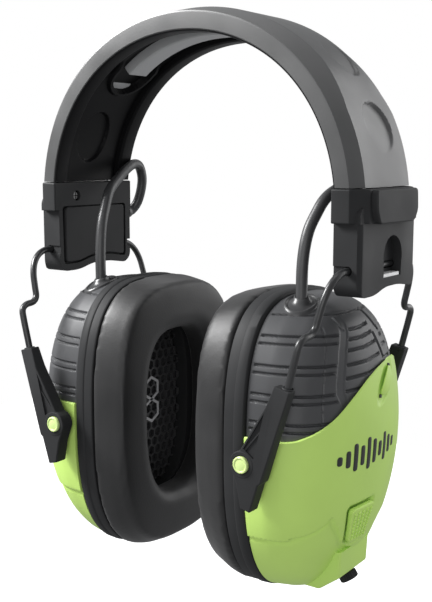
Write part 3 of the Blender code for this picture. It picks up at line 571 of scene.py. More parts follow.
MATERIALS = {
    "band": plastic("band", (0.070, 0.0705, 0.071), 0.38, specular=0.55),
    "charcoal": plastic("charcoal", (0.025, 0.0255, 0.0265), 0.56, specular=0.16),
    "liner": plastic("liner", (0.005, 0.005, 0.0055), 0.45, specular=0.12),
    "shell": plastic("shell", (0.056, 0.057, 0.060), 0.45, grain=0.35, specular=0.45),
    "lime": plastic("lime", (0.545, 0.785, 0.185), 0.46, grain=0.15, specular=0.28, wander=0.03),
    "pin": plastic("pin", (0.60, 0.76, 0.29), 0.38, grain=0.15, wander=0.04),
    # Near black: the printed marks, and also painted shade in the mic ports.
    "mark": plastic("mark", (0.020, 0.022, 0.020), 0.5, wander=0.2),
    "hex": plastic("hex", (0.55, 0.55, 0.56), 0.5),
    "cushion": leatherette("cushion", (0.0135, 0.0135, 0.014)),
    "foam": foam("foam", (0.06, 0.06, 0.062)),
    "grille": plastic("grille", (0.06, 0.06, 0.062), 0.4, specular=0.6),
    "cable": plastic("cable", (0.045, 0.0455, 0.047), 0.36, grain=0.1, specular=0.5),
    "wire": lacquered_wire("wire", (0.017, 0.0175, 0.0185)),
    # Near white: a painted highlight for the lit bevel along the foot of the end piece's window.
    "painted_highlight": plastic("painted_highlight", (0.80, 0.80, 0.80), 0.35, grain=0.1, wander=0.03),
    # Light grey of the crown's rib; on the pad at the slot's end the same grey is partly a painted highlight.
    "rib": plastic("rib", (0.42, 0.425, 0.43), 0.34, grain=0.15),
    "black_steel": metal("black_steel", (0.12, 0.12, 0.12), 0.4),
    "steel": metal("steel", (0.62, 0.61, 0.60), 0.32),
    "board": circuit("board", (0.02, 0.12, 0.05), (0.03, 0.18, 0.07), (0.25, 0.3, 0.08)),
    "battery": plastic("battery", (0.09, 0.09, 0.12), 0.4),
}


# Mesh helpers ------------------------------------------------------------------------------------


def smoothstep(low, high, value):
    share = np.clip((value - low) / (high - low), 0.0, 1.0)
    return share * share * (3 - 2 * share)


def shade(mesh, sharp=SHARP):
    """Smooth shading, but for edges over an angle."""
    mesh.shade_smooth()
    mesh.set_sharp_from_angle(angle=math.radians(sharp))


def add_object(name, data):
    obj = bpy.data.objects.new(name, data)
    bpy.context.scene.collection.objects.link(obj)
    return obj


def object_from(name, bm, material, sharp=SHARP):
    """Makes an object in metres from a bmesh in millimetres."""
    bmesh.ops.recalc_face_normals(bm, faces=bm.faces)
    mesh = bpy.data.meshes.new(name)
    bm.to_mesh(mesh)
    bm.free()
    mesh.transform(Matrix.Scale(MM, 4))
    mesh.materials.append(MATERIALS[material])
    shade(mesh, sharp)
    return add_object(name, mesh)


def grid(rows, along=False):
    """Indices of rows of points, each closed round, and the quads between; along joins last row to first."""
    index = np.arange(rows.shape[0] * rows.shape[1]).reshape(rows.shape[:2])
    if along:
        index = np.vstack([index, index[:1]])
    index = np.hstack([index, index[:, :1]])
    corners = index[:-1, :-1], index[:-1, 1:], index[1:, 1:], index[1:, :-1]
    return index, np.stack(corners, -1).reshape(-1, 4).tolist()


def skin(name, rows, material, along=False, sharp=35.0):
    """A closed surface over rows of points: either along joins its ends, or each end is capped."""
    rows = np.asarray(rows, float)
    index, faces = grid(rows, along)
    if not along:
        faces += [index[0][:-1].tolist(), index[-1][:-1].tolist()]
    bm = bmesh.new()
    verts = [bm.verts.new(p) for p in rows.reshape(-1, 3)]
    for face in faces:
        bm.faces.new([verts[i] for i in face])
    bmesh.ops.remove_doubles(bm, verts=bm.verts, dist=1e-4)
    bmesh.ops.dissolve_degenerate(bm, edges=bm.edges, dist=1e-4)
    return object_from(name, bm, material, sharp)


def prism(name, outline, axis, low, high, material, bevel=0.0):
    """An outline in the plane across axis, drawn out from low to high, with its edges rounded."""
    def at(a, b, along):
        return {"x": (along, a, b), "y": (a, along, b), "z": (a, b, along)}[axis]

    bm = bmesh.new()
    ends = [[bm.verts.new(at(a, b, along)) for a, b in outline] for along in (low, high)]
    for i in range(len(outline)):
        bm.faces.new((ends[0][i - 1], ends[0][i], ends[1][i], ends[1][i - 1]))
    for end in ends:
        bm.faces.new(end)
    bmesh.ops.recalc_face_normals(bm, faces=bm.faces)
    if bevel:
        edges = [e for e in bm.edges if e.calc_face_angle(0) > math.radians(25)]
        shape = {"offset": bevel, "segments": 2, "profile": 0.5, "affect": "EDGES", "clamp_overlap": True}
        bmesh.ops.bevel(bm, geom=edges, **shape)
    return object_from(name, bm, material)


def full_turn(count):
    return np.linspace(0, 2 * np.pi, count, endpoint=False)


def circle(radius, centre=(0.0, 0.0), count=32):
    return [(centre[0] + radius * math.cos(t), centre[1] + radius * math.sin(t)) for t in full_turn(count)]


def rectangle(a_low, a_high, b_low, b_high):
    return [(a_low, b_low), (a_high, b_low), (a_high, b_high), (a_low, b_high)]


def hexagon(centre, radius):
    turns = [k * math.pi / 3 for k in range(6)]
    return [(centre[0] + radius * math.sin(t), centre[1] + radius * math.cos(t)) for t in turns]


def rounded(outline, radius, arc=4):
    """The outline with each corner turned into a short curve."""
    points = [Vector(p) for p in outline]
    result = []
    for i, here in enumerate(points):
        before, after = points[i - 1], points[(i + 1) % len(points)]
        reach = min(radius, 0.45 * (before - here).length, 0.45 * (after - here).length)
        start = here + (before - here).normalized() * reach
        end = here + (after - here).normalized() * reach
        for k in range(arc + 1):
            t = k / arc
            result.append(tuple(start * (1 - t) ** 2 + here * 2 * t * (1 - t) + end * t**2))
    return result


def turned(name, profile, centre, material, count):
    """A piece turned about a line along Y: profile holds (y, radius), centre (x, z)."""
    rows = [[(x, y, z) for x, z in circle(radius, centre, count)] for y, radius in profile]
    return skin(name, rows, material)


def modified(obj, kind, settings, sharp=None):
    """Runs one modifier on obj, and keeps the result as its mesh."""
    modifier = obj.modifiers.new(kind.lower(), kind)
    for setting, value in settings.items():
        setattr(modifier, setting, value)
    return settled(obj, sharp)


def settled(obj, sharp=None):
    """Makes what obj's modifiers show its own mesh."""
    obj.data = bpy.data.meshes.new_from_object(obj.evaluated_get(bpy.context.evaluated_depsgraph_get()))
    obj.modifiers.clear()
    if sharp:
        shade(obj.data, sharp)
    return obj


def combine(obj, others, operation):
    """Cuts the others from obj, or joins them to it, and keeps the result as obj's mesh."""
    for other in others:
        modifier = obj.modifiers.new(operation.lower(), "BOOLEAN")
        modifier.operation = operation
        modifier.object = other
        modifier.solver = "EXACT"
    settled(obj, SHARP)
    while len(obj.data.materials) > 1:
        obj.data.materials.pop()
    for other in others:
        bpy.data.objects.remove(other, do_unlink=True)
    return obj


def cut(obj, *cutters):
    return combine(obj, cutters, "DIFFERENCE")


def join(obj, *others):
    return combine(obj, others, "UNION")


def merge(obj, *others):
    """Puts other objects' meshes into obj's, unjoined."""
    bm = bmesh.new()
    bm.from_mesh(obj.data)
    for other in others:
        bm.from_mesh(other.data)
        bpy.data.objects.remove(other, do_unlink=True)
    bm.to_mesh(obj.data)
    bm.free()
    shade(obj.data)
    return obj


def bevelled(obj, width, angle=40.0):
    """Rounds the edges that a Boolean left sharp."""
    where = {"limit_method": "ANGLE", "angle_limit": math.radians(angle)}
    return modified(obj, "BEVEL", {"width": width * MM, "segments": 1, **where}, sharp=18)


def mirrored(obj, across, name):
    """A copy of obj on the other side of the plane across X or Y."""
    mesh = obj.data.copy()
    mesh.transform(Matrix.Diagonal((-1, 1, 1, 1) if across == "x" else (1, -1, 1, 1)))
    mesh.flip_normals()
    return add_object(name, mesh)


def dress(obj, body, material, *nodes):
    """Hangs a piece on its body and hides the CAD nodes it stands for."""
    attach(obj, body)
    if nodes:
        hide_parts(*nodes)


def dress_pair(maker, part, body, material, *nodes):
    """Makes left_PART and its mirror image, each on its own side's body."""
    left = maker(f"{LEFT}_{part}")
    right = mirrored(left, "x", f"{RIGHT}_{part}")
    for side, obj in ((LEFT, left), (RIGHT, right)):
        on = body if body == "headband" else f"{side}_{body}"
        dress(obj, on, material, *[f"{side}_{node}" for node in nodes])
    return left, right


def smooth_line(points, count):
    """A smooth curve through points, with count steps from each to the next."""
    points = np.asarray(points, float)
    ends = np.vstack([2 * points[0] - points[1], points, 2 * points[-1] - points[-2]])
    result = []
    for a, b, c, d in zip(ends, ends[1:], ends[2:], ends[3:]):
        for t in np.linspace(0, 1, count, endpoint=False):
            curve = (2 * a - 5 * b + 4 * c - d) * t**2 + (3 * b - a - 3 * c + d) * t**3
            result.append(0.5 * (2 * b + (c - a) * t + curve))
    return np.array(result + [points[-1]])


def smooth_route(route, spacing):
    """Points every spacing millimetres along a smooth curve through the route's own points."""
    dense = smooth_line(route, 50)
    lengths = np.concatenate([[0], np.cumsum(np.linalg.norm(np.diff(dense, axis=0), axis=1))])
    goals = np.linspace(0, lengths[-1], round(lengths[-1] / spacing) + 1)
    return np.stack([np.interp(goals, lengths, dense[:, k]) for k in range(3)], axis=1)


def tube(name, points, radius, material, sides):
    """A round tube along points, its rings carried along without twisting."""
    tangents = np.gradient(points, axis=0)
    tangents /= np.linalg.norm(tangents, axis=1)[:, None]
    turns = full_turn(sides)[:, None]
    side = np.cross(tangents[0], (1.0, 0.3, 0.2))
    rows = []
    for point, tangent in zip(points, tangents):
        side = side - tangent * np.dot(side, tangent)
        side /= np.linalg.norm(side)
        rows.append(point + radius * (np.cos(turns) * side + np.sin(turns) * np.cross(tangent, side)))
    return skin(name, rows, material)


# Headband ----------------------------------------------------------------------------------------


def blend_radius(radii, angle):
    return radii[0] + (radii[1] - radii[0]) * np.sin(angle) ** 2 + SHOULDER * np.sin(2 * angle) ** 2


def end_angle(radii, end_z):
    """The angle from the crown at which an arch comes down to a height."""
    angle = math.radians(85)
    for _ in range(20):
        angle = math.acos((end_z - ARCH_Z) / blend_radius(radii, angle))
    return angle


BAND_END_ANGLE = math.degrees(end_angle(CROWN_R, BAND_END_Z))


def arch_at(radii, depth, y, angle):
    """A point at an angle from the crown, some depth below a radius of the arch."""
    radius = blend_radius(radii, angle) - depth
    return np.array([radius * np.sin(angle), y, ARCH_Z + radius * np.cos(angle)])


def arch_rows(section, end_z, steps, half_angle=None):
    """Sweeps section(share), a list of (radii, depth, y), along the arch from one end to the other."""
    rows = []
    for share in np.linspace(-1, 1, steps):
        row = []
        for radii, depth, y in section(share):
            reach = half_angle or end_angle((radii[0] - depth, radii[1] - depth), end_z)
            row.append(arch_at(radii, depth, y, share * reach))
        rows.append(row)
    return rows


def pocket_depth(degrees, y):
    """How far the outer flat sinks at an angle and a y: two moulded hollows on each leg."""
    at, middle, radius = ROUND_POCKET
    along, across = (abs(degrees) - at) * MM_PER_DEGREE, y - middle
    ramp = smoothstep(-radius, radius, across * 0.75 - along * 0.66)
    deep = smoothstep(-0.15, 0.55, radius - np.hypot(along, across)) * ramp
    at, middle, half_length, half_width = LENS_POCKET
    along = (abs(degrees) - at) * MM_PER_DEGREE
    inside = 1 - np.hypot(along / half_length, (y - middle) / half_width)
    slope = LENS_DEPTH * smoothstep(-half_length, half_length, along)
    return float(deep + smoothstep(-0.02, 0.09, inside) * slope)


def band_section(share):
    """The channel-shaped band: a flat, two chamfers, two flanges and the channel's floor."""
    flare = min(1.0, max(0.0, (abs(share) - 0.55) / 0.2))
    flat = FLAT_HALF_WIDTH[0] + (FLAT_HALF_WIDTH[1] - FLAT_HALF_WIDTH[0]) * flare
    degrees, wide = share * BAND_END_ANGLE, BAND_HALF_WIDTH
    section = [(CROWN_R, pocket_depth(degrees, y), y) for y in np.linspace(-flat, flat, 73)]
    half = []
    for out, depth in CHAMFER:
        radii = tuple(c + (e - c) * out for c, e in zip(CROWN_R, EDGE_R))
        half.append((radii, depth, flat + (wide - flat) * out))
    half += [(EDGE_R, 0.25, wide - 0.04), (EDGE_R, 0.6, wide)]
    half += [(INNER_R, -0.9, wide), (INNER_R, -0.75, wide - 0.1), (INNER_R, -0.6, wide - 0.35)]
    half += [(INNER_R, -0.6, CHANNEL_HALF_WIDTH), (CROWN_R, CHANNEL_DEPTH, CHANNEL_HALF_WIDTH)]
    return section + half + [(radii, depth, -y) for radii, depth, y in reversed(half)]


def make_band(name):
    return skin(name, arch_rows(band_section, BAND_END_Z, 421), "band", sharp=28.0)


def liner_height(degrees, y):
    """Depth of the liner's face: the long slot with a raised lip at its ends, its floor black as painted
    shade, and the oval recess.
    """
    at, middle, half_width = SLOT_END
    inset = half_width - math.hypot(max(0.0, (degrees - at) * LINER_MM_PER_DEGREE), y - middle)
    if inset > 0:
        # Inside the slot the near-black liner goes on as its floor: painted shade over the band's grey floor
        # in shadow.
        depth = LINER_DEPTH - 1.35 * smoothstep(0.0, 0.35, inset)
    else:
        depth = LINER_DEPTH + 1.4 * smoothstep(-1.9, -1.4, inset) * smoothstep(34.0, 38.0, degrees)
    at, middle, half_length, half_width = OVAL
    oval = 1 - math.hypot((degrees - at) * LINER_MM_PER_DEGREE / half_length, (y - middle) / half_width)
    return float(depth - 1.2 * smoothstep(0.0, 0.05, oval))


def liner_section(share):
    """The liner's face with the black lining of the flanges and walls beside it."""
    degrees, half = abs(share) * BAND_END_ANGLE, LINER_HALF_WIDTH
    face = [(CROWN_R, liner_height(degrees, y), y) for y in np.linspace(-half, half, 91)]
    side = [(CROWN_R, LINER_DEPTH, half + 0.3), *LINING]
    return face + side + [(radii, depth, -y) for radii, depth, y in reversed(side)]


def make_liner(name):
    return skin(name, arch_rows(liner_section, BAND_END_Z, 361), "liner", sharp=30.0)


def make_rib(name):
    """The crown's central rib, its lower edges rounded and its ends squared."""
    low, high = RIB_DEPTH
    front, rear = RIB_Y
    rear_half = [(low, 0.0), (high - 0.5, 0.0), (high - 0.12, 0.15), (high, 0.5)]
    section = [(CROWN_R, depth, rear - inset) for depth, inset in rear_half]
    section += [(CROWN_R, depth, front + inset) for depth, inset in reversed(rear_half)]
    rows = arch_rows(lambda share: section, 0.0, 81, math.radians(RIB_HALF_ANGLE))
    return bevelled(skin(name, rows, "rib"), 0.35, 60.0)


def make_slot_floor_highlight(name):
    """The grey floor at the outer end of the liner's slot, made lighter as a painted highlight where its
    slanted end catches the light.
    """
    angles = np.radians(np.linspace(*SLOT_HIGHLIGHT_DEGREES, 9))
    return skin(name, [[arch_at(*point, angle) for point in SLOT_HIGHLIGHT_SECTION] for angle in angles], "rib")


def build_headband():
    dress(make_band("band_shell"), "headband", "band", "headband_shell")
    dress(make_liner("band_liner"), "headband", "liner", "headband_liner")
    dress(make_rib("crown_rib_skin"), "headband", "rib", "crown_rib")
    dress_pair(make_slot_floor_highlight, "slot_floor_highlight", "headband", "rib")


# End pieces --------------------------------------------------------------------------------------


def wavy_bottom(z, inset=0.0):
    """The block's lower edge from front to rear, with its shallow wave."""
    front, rear, lift = BLOCK_Y[0] + 2.4 + inset, BLOCK_Y[1] - 3.0 - inset, BLOCK_WAVE
    return [(front, z), (-9.0, z), (-1.0, z + lift), (8.0, z + lift), (rear, z + 0.3 * lift)]


def block_corner(y, outwards):
    """A wedge that takes off one upright outer corner of the block."""
    past, reach, run = BLOCK_OUTER_X + 1.0, BLOCK_OUTER_X - 1.6, 3.4
    outline = [(past, y + outwards), (reach, y + outwards), (past, y - outwards * run)]
    return prism("corner", outline, "z", BLOCK_BOTTOM - 2, COLLAR_BOTTOM - 0.02, "charcoal")


def make_collar(name):
    wide, flat = COLLAR_HALF_WIDTH, FLAT_HALF_WIDTH[1]
    half = [(BLOCK_INNER_X, wide), (COLLAR_EDGE_X, wide), (COLLAR_OUTER_X, flat)]
    outline = [(x, -y) for x, y in half] + half[::-1]
    return prism(name, outline, "z", COLLAR_BOTTOM, COLLAR_TOP, "charcoal", bevel=0.45)


def make_block():
    front, rear = BLOCK_Y
    side = [(front, BLOCK_BOTTOM + 3.0), *wavy_bottom(BLOCK_BOTTOM), (rear, BLOCK_BOTTOM + 3.0)]
    side += [(rear, COLLAR_BOTTOM + 5.0), (front, COLLAR_BOTTOM + 5.0)]
    block = prism("block", rounded(side, 3.0, 7), "x", BLOCK_INNER_X + 0.02, BLOCK_OUTER_X, "charcoal")
    cut(block, block_corner(front, -1), block_corner(rear, 1))
    return bevelled(block, 0.5, 30.0)


def make_end_piece(name):
    """The collar, block and bump as one, with the window, the crossbar's hole, the recess and two holes."""
    wide, inner, outer = COLLAR_HALF_WIDTH, BLOCK_INNER_X, BLOCK_OUTER_X
    bump = rounded(BUMP_SHAPE, 1.6)
    bump = prism("bump", bump, "x", COLLAR_OUTER_X - 3.0, BUMP_OUTER_X, "charcoal", bevel=0.5)
    piece = join(make_collar(name), make_block(), bump)
    arch = [(WINDOW_AT[0] + a, WINDOW_AT[1] + b) for a, b in circle(WINDOW_RADIUS, count=40)[:21]]
    front, rear, foot = WINDOW_FOOT
    notch = rectangle(inner - 2, CROSSBAR_X, CROSSBAR_Z - NOTCH[0], CROSSBAR_Z + NOTCH[0])
    recess_front, recess_rear, top, bottom, depth = RECESS
    recess = rounded([(recess_front, top), *wavy_bottom(bottom, -0.2), (recess_rear, top)], 1.5)
    cutters = (
        ([(front, foot), (rear, foot), *arch], "x", outer - WINDOW_DEPTH, outer + 3),
        (circle(CROSSBAR_HOLE, (CROSSBAR_X, CROSSBAR_Z), 24), "y", -wide - 2, wide + 2),
        (notch, "y", -wide - 2, -wide + NOTCH[1]),
        (notch, "y", wide - NOTCH[1], wide + 2),
        (recess, "x", inner - 2, inner + depth),
        (circle(SCREW_RADIUS + 0.3, SCREW_AT, 24), "x", inner - 1, inner + 1.8),
        (circle(ENTRY_RADIUS, ENTRY_AT, 24), "y", wide - 3.5, wide + 2),
    )
    cut(piece, *[prism("cutter", *cutter, "charcoal") for cutter in cutters])
    return bevelled(piece, 0.22, 45.0)


def make_window_highlight(name):
    """A near-white strip along the foot of the arched window: a painted highlight for the lit bevel there."""
    return prism(name, rectangle(*WINDOW_HIGHLIGHT), "x", BLOCK_OUTER_X - 3.4, BLOCK_OUTER_X - 0.2, "painted_highlight", bevel=0.2)


def make_end_cover(name):
    """The plate that closes the block on the side facing the head."""
    front, rear, top, bottom, depth = COVER_PLATE
    shape = rounded([(front, top), *wavy_bottom(bottom, 0.9), (rear, top)], 1.6)
    return prism(name, shape, "x", BLOCK_INNER_X - 0.15, BLOCK_INNER_X + depth, "charcoal", bevel=0.35)


def make_end_screw(name):
    """A small screw head with a crossed slot."""
    y, z = SCREW_AT
    low, high = BLOCK_INNER_X + 0.9, BLOCK_INNER_X + 2.1
    head = prism(name, circle(SCREW_RADIUS, SCREW_AT), "x", low, high, "black_steel", bevel=0.25)
    slots = []
    for wide, tall in (SCREW_SLOT, SCREW_SLOT[::-1]):
        shape = rectangle(y - wide, y + wide, z - tall, z + tall)
        slots.append(prism("slot", shape, "x", BLOCK_INNER_X, low + 0.7, "black_steel"))
    return cut(head, *slots)


def make_cable_collar(name):
    """The strain relief where the cable goes into the block."""
    return turned(name, CABLE_COLLAR, ENTRY_AT, "band", 32)


def build_end_pieces():
    dress_pair(make_end_piece, "end_piece_skin", "headband", "charcoal", "end_piece")
    dress_pair(make_window_highlight, "window_highlight", "headband", "painted_highlight")
    dress_pair(make_end_cover, "end_cover_skin", "headband", "charcoal", "end_cover")
    dress_pair(make_end_screw, "end_screw_skin", "headband", "black_steel", "end_screw")
    dress_pair(make_cable_collar, "cable_collar", "headband", "band")


# Bail and arms -----------------------------------------------------------------------------------


def lean(obj):
    """Takes a piece drawn upright about the crossbar to its place on the leaning bail."""
    place = Matrix.Translation(Vector((CROSSBAR_X, 0, CROSSBAR_Z)) * MM)
    obj.data.transform(place @ Matrix.Rotation(math.radians(BAIL_LEAN), 4, "Y"))
    return obj


def make_bail_wire(name):
    route = [(x, -y, z) for x, y, z in reversed(WIRE_SIDE)] + list(WIRE_SIDE)
    return lean(tube(name, smooth_route(route, 0.8), WIRE_RADIUS, "wire", 24))


def arm_outline():
    """The arm from the front: a bar with the pin's boss bulging on one side, and a cut-off foot."""
    x, z = PIN_AT
    turns = [math.radians(t) for t in range(115, 206, 9)]
    boss = [(x + BOSS_RADIUS * math.cos(t), z + BOSS_RADIUS * math.sin(t)) for t in turns]
    inner, outer = BAR_X
    top = [(outer, ARM_TOP), (inner, ARM_TOP), (inner, ARM_TOP - 7.0)]
    foot = [(x - 0.4, -69.0), (-5.0, ARM_FOOT), (-1.4, ARM_FOOT), (outer - 3.2, -66.4), (outer - 2.4, -65.4)]
    return top + boss + foot


def narrow_neck(arm):
    """Draws the arm's top in round the wire."""
    for vertex in arm.data.vertices:
        if vertex.co.z > (ARM_TOP - ARM_NECK) * MM:
            vertex.co.x *= 0.8 if vertex.co.x < 0 else 0.85
            vertex.co.y = (-WIRE_Y + (vertex.co.y / MM + WIRE_Y) * 0.8) * MM


def make_front_arm(name):
    """An arm with its web, neck, boss ring and rib, bored for the wire and the pin."""
    low, high = -ARM_Y[1], -ARM_Y[0]
    x, z = PIN_AT
    edge = BAR_X[0]
    wire_at = (0.0, -WIRE_Y)
    web = [(edge + 0.1, ARM_TOP - 9.0), (x - 0.6, z + BOSS_RADIUS + 0.9), (edge + 0.1, z + 3.4)]
    rib = [(edge + 0.3, ARM_TOP - 14.6), (edge + 0.3, ARM_TOP - 15.5), (x - 0.6, z + 3.0), (x - 1.3, z + 3.5)]
    arm = prism(name, arm_outline(), "y", low, high, "charcoal", bevel=0.4)
    cut(arm, prism("web", web, "y", low - 1, low + 0.7, "charcoal"))
    narrow_neck(arm)
    ring = circle(BOSS_RADIUS - 0.02, PIN_AT, 40)
    ring = prism("ring", ring, "y", low - 0.15, low + 3.0, "charcoal", bevel=0.3)
    join(arm, ring, prism("rib", rib, "y", low + 0.3, low + 3.0, "charcoal", bevel=0.15))
    join(arm, prism("cap", circle(1.9, wire_at), "z", ARM_TOP - 0.8, ARM_TOP + 0.4, "charcoal", bevel=0.3))
    cutters = (
        (circle(WIRE_RADIUS + 0.25, wire_at, 24), "z", WIRE_FOOT - 1.5, ARM_TOP + 2),
        (circle(PIN_RADIUS + 0.3, PIN_AT), "y", low - 2, high + 2),
        (circle(PIN_HEAD_RADIUS + 0.3, PIN_AT, 40), "y", low - 2, low + 0.6),
    )
    cut(arm, *[prism("cutter", *cutter, "charcoal") for cutter in cutters])
    return lean(bevelled(arm, 0.15, 50.0))


def make_front_pin(name):
    """A pivot pin: a domed head with a raised edge, on a plain shaft."""
    profile = [(PIN_SHAFT_END, PIN_RADIUS)] + [(-ARM_Y[1] + past, radius) for past, radius in PIN_HEAD]
    return lean(turned(name, profile, PIN_AT, "pin", 40))


def build_bails():
    dress_pair(make_bail_wire, "bail_wire_skin", "bail", "wire", "bail_wire")
    for part, maker, material in (("arm", make_front_arm, "charcoal"), ("pin", make_front_pin, "pin")):
        fronts = dress_pair(maker, f"front_{part}_skin", "yoke", material, f"front_{part}")
        for side, front in zip((LEFT, RIGHT), fronts):
            rear = mirrored(front, "y", f"{side}_rear_{part}_skin")
            dress(rear, f"{side}_yoke", material, f"{side}_rear_{part}")


# Cup outlines ------------------------------------------------------------------------------------


def outline_at(half_width, half_height, centre_z, power, turns):
    """Points (y, z) of a cup outline at the given turns, with its foot drawn in a little."""
    c, s = np.cos(turns), np.sin(turns)
    power = np.asarray(power)
    y = half_width * np.sign(c) * np.abs(c) ** (2 / power)
    rise = np.sign(s) * np.abs(s) ** (2 / power)
    return y * (1 - CUP_EGG * np.minimum(rise, 0.0) ** 2), centre_z + half_height * rise


def even_turns(count):
    """Turns that spread points evenly round the cup's outline."""
    fine = np.linspace(0, 2 * np.pi, 20001)
    y, z = outline_at(CUP_HALF_WIDTH, CUP_HALF_HEIGHT, 0.0, CUP_POWER, fine)
    lengths = np.concatenate([[0], np.cumsum(np.hypot(np.diff(y), np.diff(z)))])
    return np.interp(np.linspace(0, lengths[-1], count, endpoint=False), lengths, fine)


TURNS = even_turns(240)


def cup_row(x, half_width, half_height, centre_z=CUP_Z, power=CUP_POWER):
    y, z = outline_at(half_width, half_height, centre_z, power, TURNS)
    return np.stack([np.full_like(y, x), y, z], axis=-1)


def chin(z):
    """How much of the shell's depth is left at a height: it grows shallower towards its foot."""
    return 1 - CHIN * np.maximum(0.0, (CUP_Z + 8.0 - z) / CUP_HALF_HEIGHT) ** 1.5


def monotone(xs, ys, x):
    """Smooth interpolation that doesn't overshoot the given values."""
    widths, slopes = np.diff(xs), np.diff(ys) / np.diff(xs)
    middle = np.zeros(len(xs))
    for i in range(1, len(xs) - 1):
        if slopes[i - 1] * slopes[i] > 0:
            a, b = 2 * widths[i] + widths[i - 1], widths[i] + 2 * widths[i - 1]
            middle[i] = (a + b) / (a / slopes[i - 1] + b / slopes[i])
    middle[0], middle[-1] = slopes[0], slopes[-1]
    i = np.clip(np.searchsorted(xs, x) - 1, 0, len(widths) - 1)
    h = widths[i]
    t = (x - xs[i]) / h
    start = (1 + 2 * t) * (1 - t) ** 2 * ys[i] + t * (1 - t) ** 2 * h * middle[i]
    return start + t * t * (3 - 2 * t) * ys[i + 1] + t * t * (t - 1) * h * middle[i + 1]


def station_table():
    """The shell's stations, filled in smoothly between the given ones, for even shares from 0 to 1."""
    table = np.array(SHELL_STATIONS, float)
    spans = np.hypot(np.diff(table[:, 0]), CUP_HALF_WIDTH * np.diff(table[:, 1]))
    places = np.concatenate([[0], np.cumsum(spans)]) / spans.sum()
    shares = np.linspace(0, 1, 2001)
    return shares, [monotone(places, column, shares) for column in table.T]


STATIONS = station_table()


def shell_points(shares, turns, grow=0.0, rise=0.0):
    """Points of the shell's outer surface at shares (0 at its open edge, 1 at its pole) and turns."""
    places, table = STATIONS
    x, wide, high, lift, power = (np.interp(shares, places, column) for column in table)
    out = grow * np.minimum(1.0, wide / 0.2)
    half_width, half_height = CUP_HALF_WIDTH * wide + out, CUP_HALF_HEIGHT * high + out
    y, z = outline_at(half_width, half_height, CUP_Z + lift, power, turns)
    x = SHELL_X + (x + rise * (1 - wide) - SHELL_X) * chin(z)
    return np.stack([x, y, z], axis=-1)


def shell_rows(shares, turns, grow=0.0, rise=0.0):
    """Rows of the shell's outer surface, from its open edge to its pole."""
    return shell_points(*np.meshgrid(shares, turns, indexing="ij"), grow, rise)


def row_normals(rows):
    """Outward normals of a grid of rows closed round."""
    around = (np.roll(rows, -1, axis=1) - np.roll(rows, 1, axis=1)) / 2
    normals = np.cross(around, np.gradient(rows, axis=0))
    normals /= np.maximum(np.linalg.norm(normals, axis=2, keepdims=True), 1e-9)
    return normals * np.sign((normals * (rows - np.array([40.0, 0.0, CUP_Z]))).sum())


# Seats on the cup --------------------------------------------------------------------------------


def surface_tree(grow=0.0, rise=0.0):
    """The cup's surface, grown outwards, as something to cast rays at."""
    rows = shell_rows(np.linspace(0.0, 0.99999, 160), even_turns(360), grow, rise)
    return BVHTree.FromPolygons([tuple(p) for p in rows.reshape(-1, 3)], grid(rows)[1])


COVER_BODY = surface_tree(COVER_OUT, COVER_RISE * COVER_OUT)


def seat_frame(y, z):
    """Where a side view's (y, z) meets the cover, with the directions across, along and out of it there."""
    place, normal, _, _ = COVER_BODY.ray_cast(Vector((100.0, y, z)), Vector((-1, 0, 0)))
    across = Vector((0, 0, 1)).cross(normal).normalized()
    return [np.array(v) for v in (place, across, normal.cross(across), normal)]


BUTTON_SEAT = seat_frame(*BUTTON_AT)
MIC_SEAT = seat_frame(*MIC_AT)


def seated(obj, seat):
    """Moves an object drawn on a seat (Z out of the surface) to its place."""
    turn = Matrix([Vector(v) for v in seat[1:]]).transposed().to_4x4()
    obj.data.transform(Matrix.Translation(Vector(seat[0]) * MM) @ turn)
    return obj


def seated_mic(obj):
    obj.data.transform(Matrix.Rotation(math.radians(MIC_TURN), 4, "Z"))
    return seated(obj, MIC_SEAT)


def outside_button(points):
    """Signed distance outside the button's hole, its corners rounded; a large one far away from it."""
    local = points - BUTTON_SEAT[0]
    a, b = np.abs(local @ BUTTON_SEAT[1]), local @ BUTTON_SEAT[2]
    top, foot, height = (half + BUTTON_GAP for half in BUTTON_HALF)
    slope = (top - foot) / (2 * height)
    beside = (a - foot - slope * (b + height)) / math.hypot(1.0, slope)
    beyond, corner = np.abs(b) - height, 1.2
    straight = np.maximum(beside, beyond)
    bent = np.hypot(np.maximum(beside + corner, 0), np.maximum(beyond + corner, 0)) - corner
    near = np.linalg.norm(local, axis=-1) < 16
    return np.where(near, np.where(straight > -corner, bent, straight), 1e3)


def button_well(points, depth):
    """The hollow that the press button moves in."""
    return depth * (1 - smoothstep(-0.1, 0.45, outside_button(points)))


def outside_leaf(points):
    """Signed distance, about, outside the microphone's leaf-shaped cover."""
    local = points - MIC_SEAT[0]
    a, b, turn = local @ MIC_SEAT[1], local @ MIC_SEAT[2], math.radians(-MIC_TURN)
    across, along = a * math.cos(turn) - b * math.sin(turn), a * math.sin(turn) + b * math.cos(turn)
    return (np.hypot(across / MIC_HALF[0], along / MIC_HALF[1]) - 1) * MIC_HALF[0]


# Shell -------------------------------------------------------------------------------------------


def line_y(line, z):
    places = np.array(line[::-1])
    return np.interp(z, places[:, 0], places[:, 1])


def groove(distance, half_width, soft=0.28):
    return 1 - smoothstep(half_width - soft, half_width + soft, np.abs(distance))


def from_nearest(z, first):
    """Distance along Z from the nearest of a set of lines one pitch apart."""
    return (z - first + PITCH / 2) % PITCH - PITCH / 2


def side_tread(z, steep):
    """The paired grooves and ridges of the shell's sides: how far each sinks, and how far each stands up."""
    first, second = (from_nearest(z, at) for at in SIDE_GROOVES)
    sunk = np.maximum(0.8 * groove(first / steep, 0.36, 0.22), 0.7 * groove(second / steep, 0.34, 0.22))
    raised = 0.25 * groove((first + 0.75) / steep, 0.22, 0.2)
    return sunk, raised + 0.3 * groove(from_nearest(z, SIDE_STEP) / steep, 0.24, 0.2)


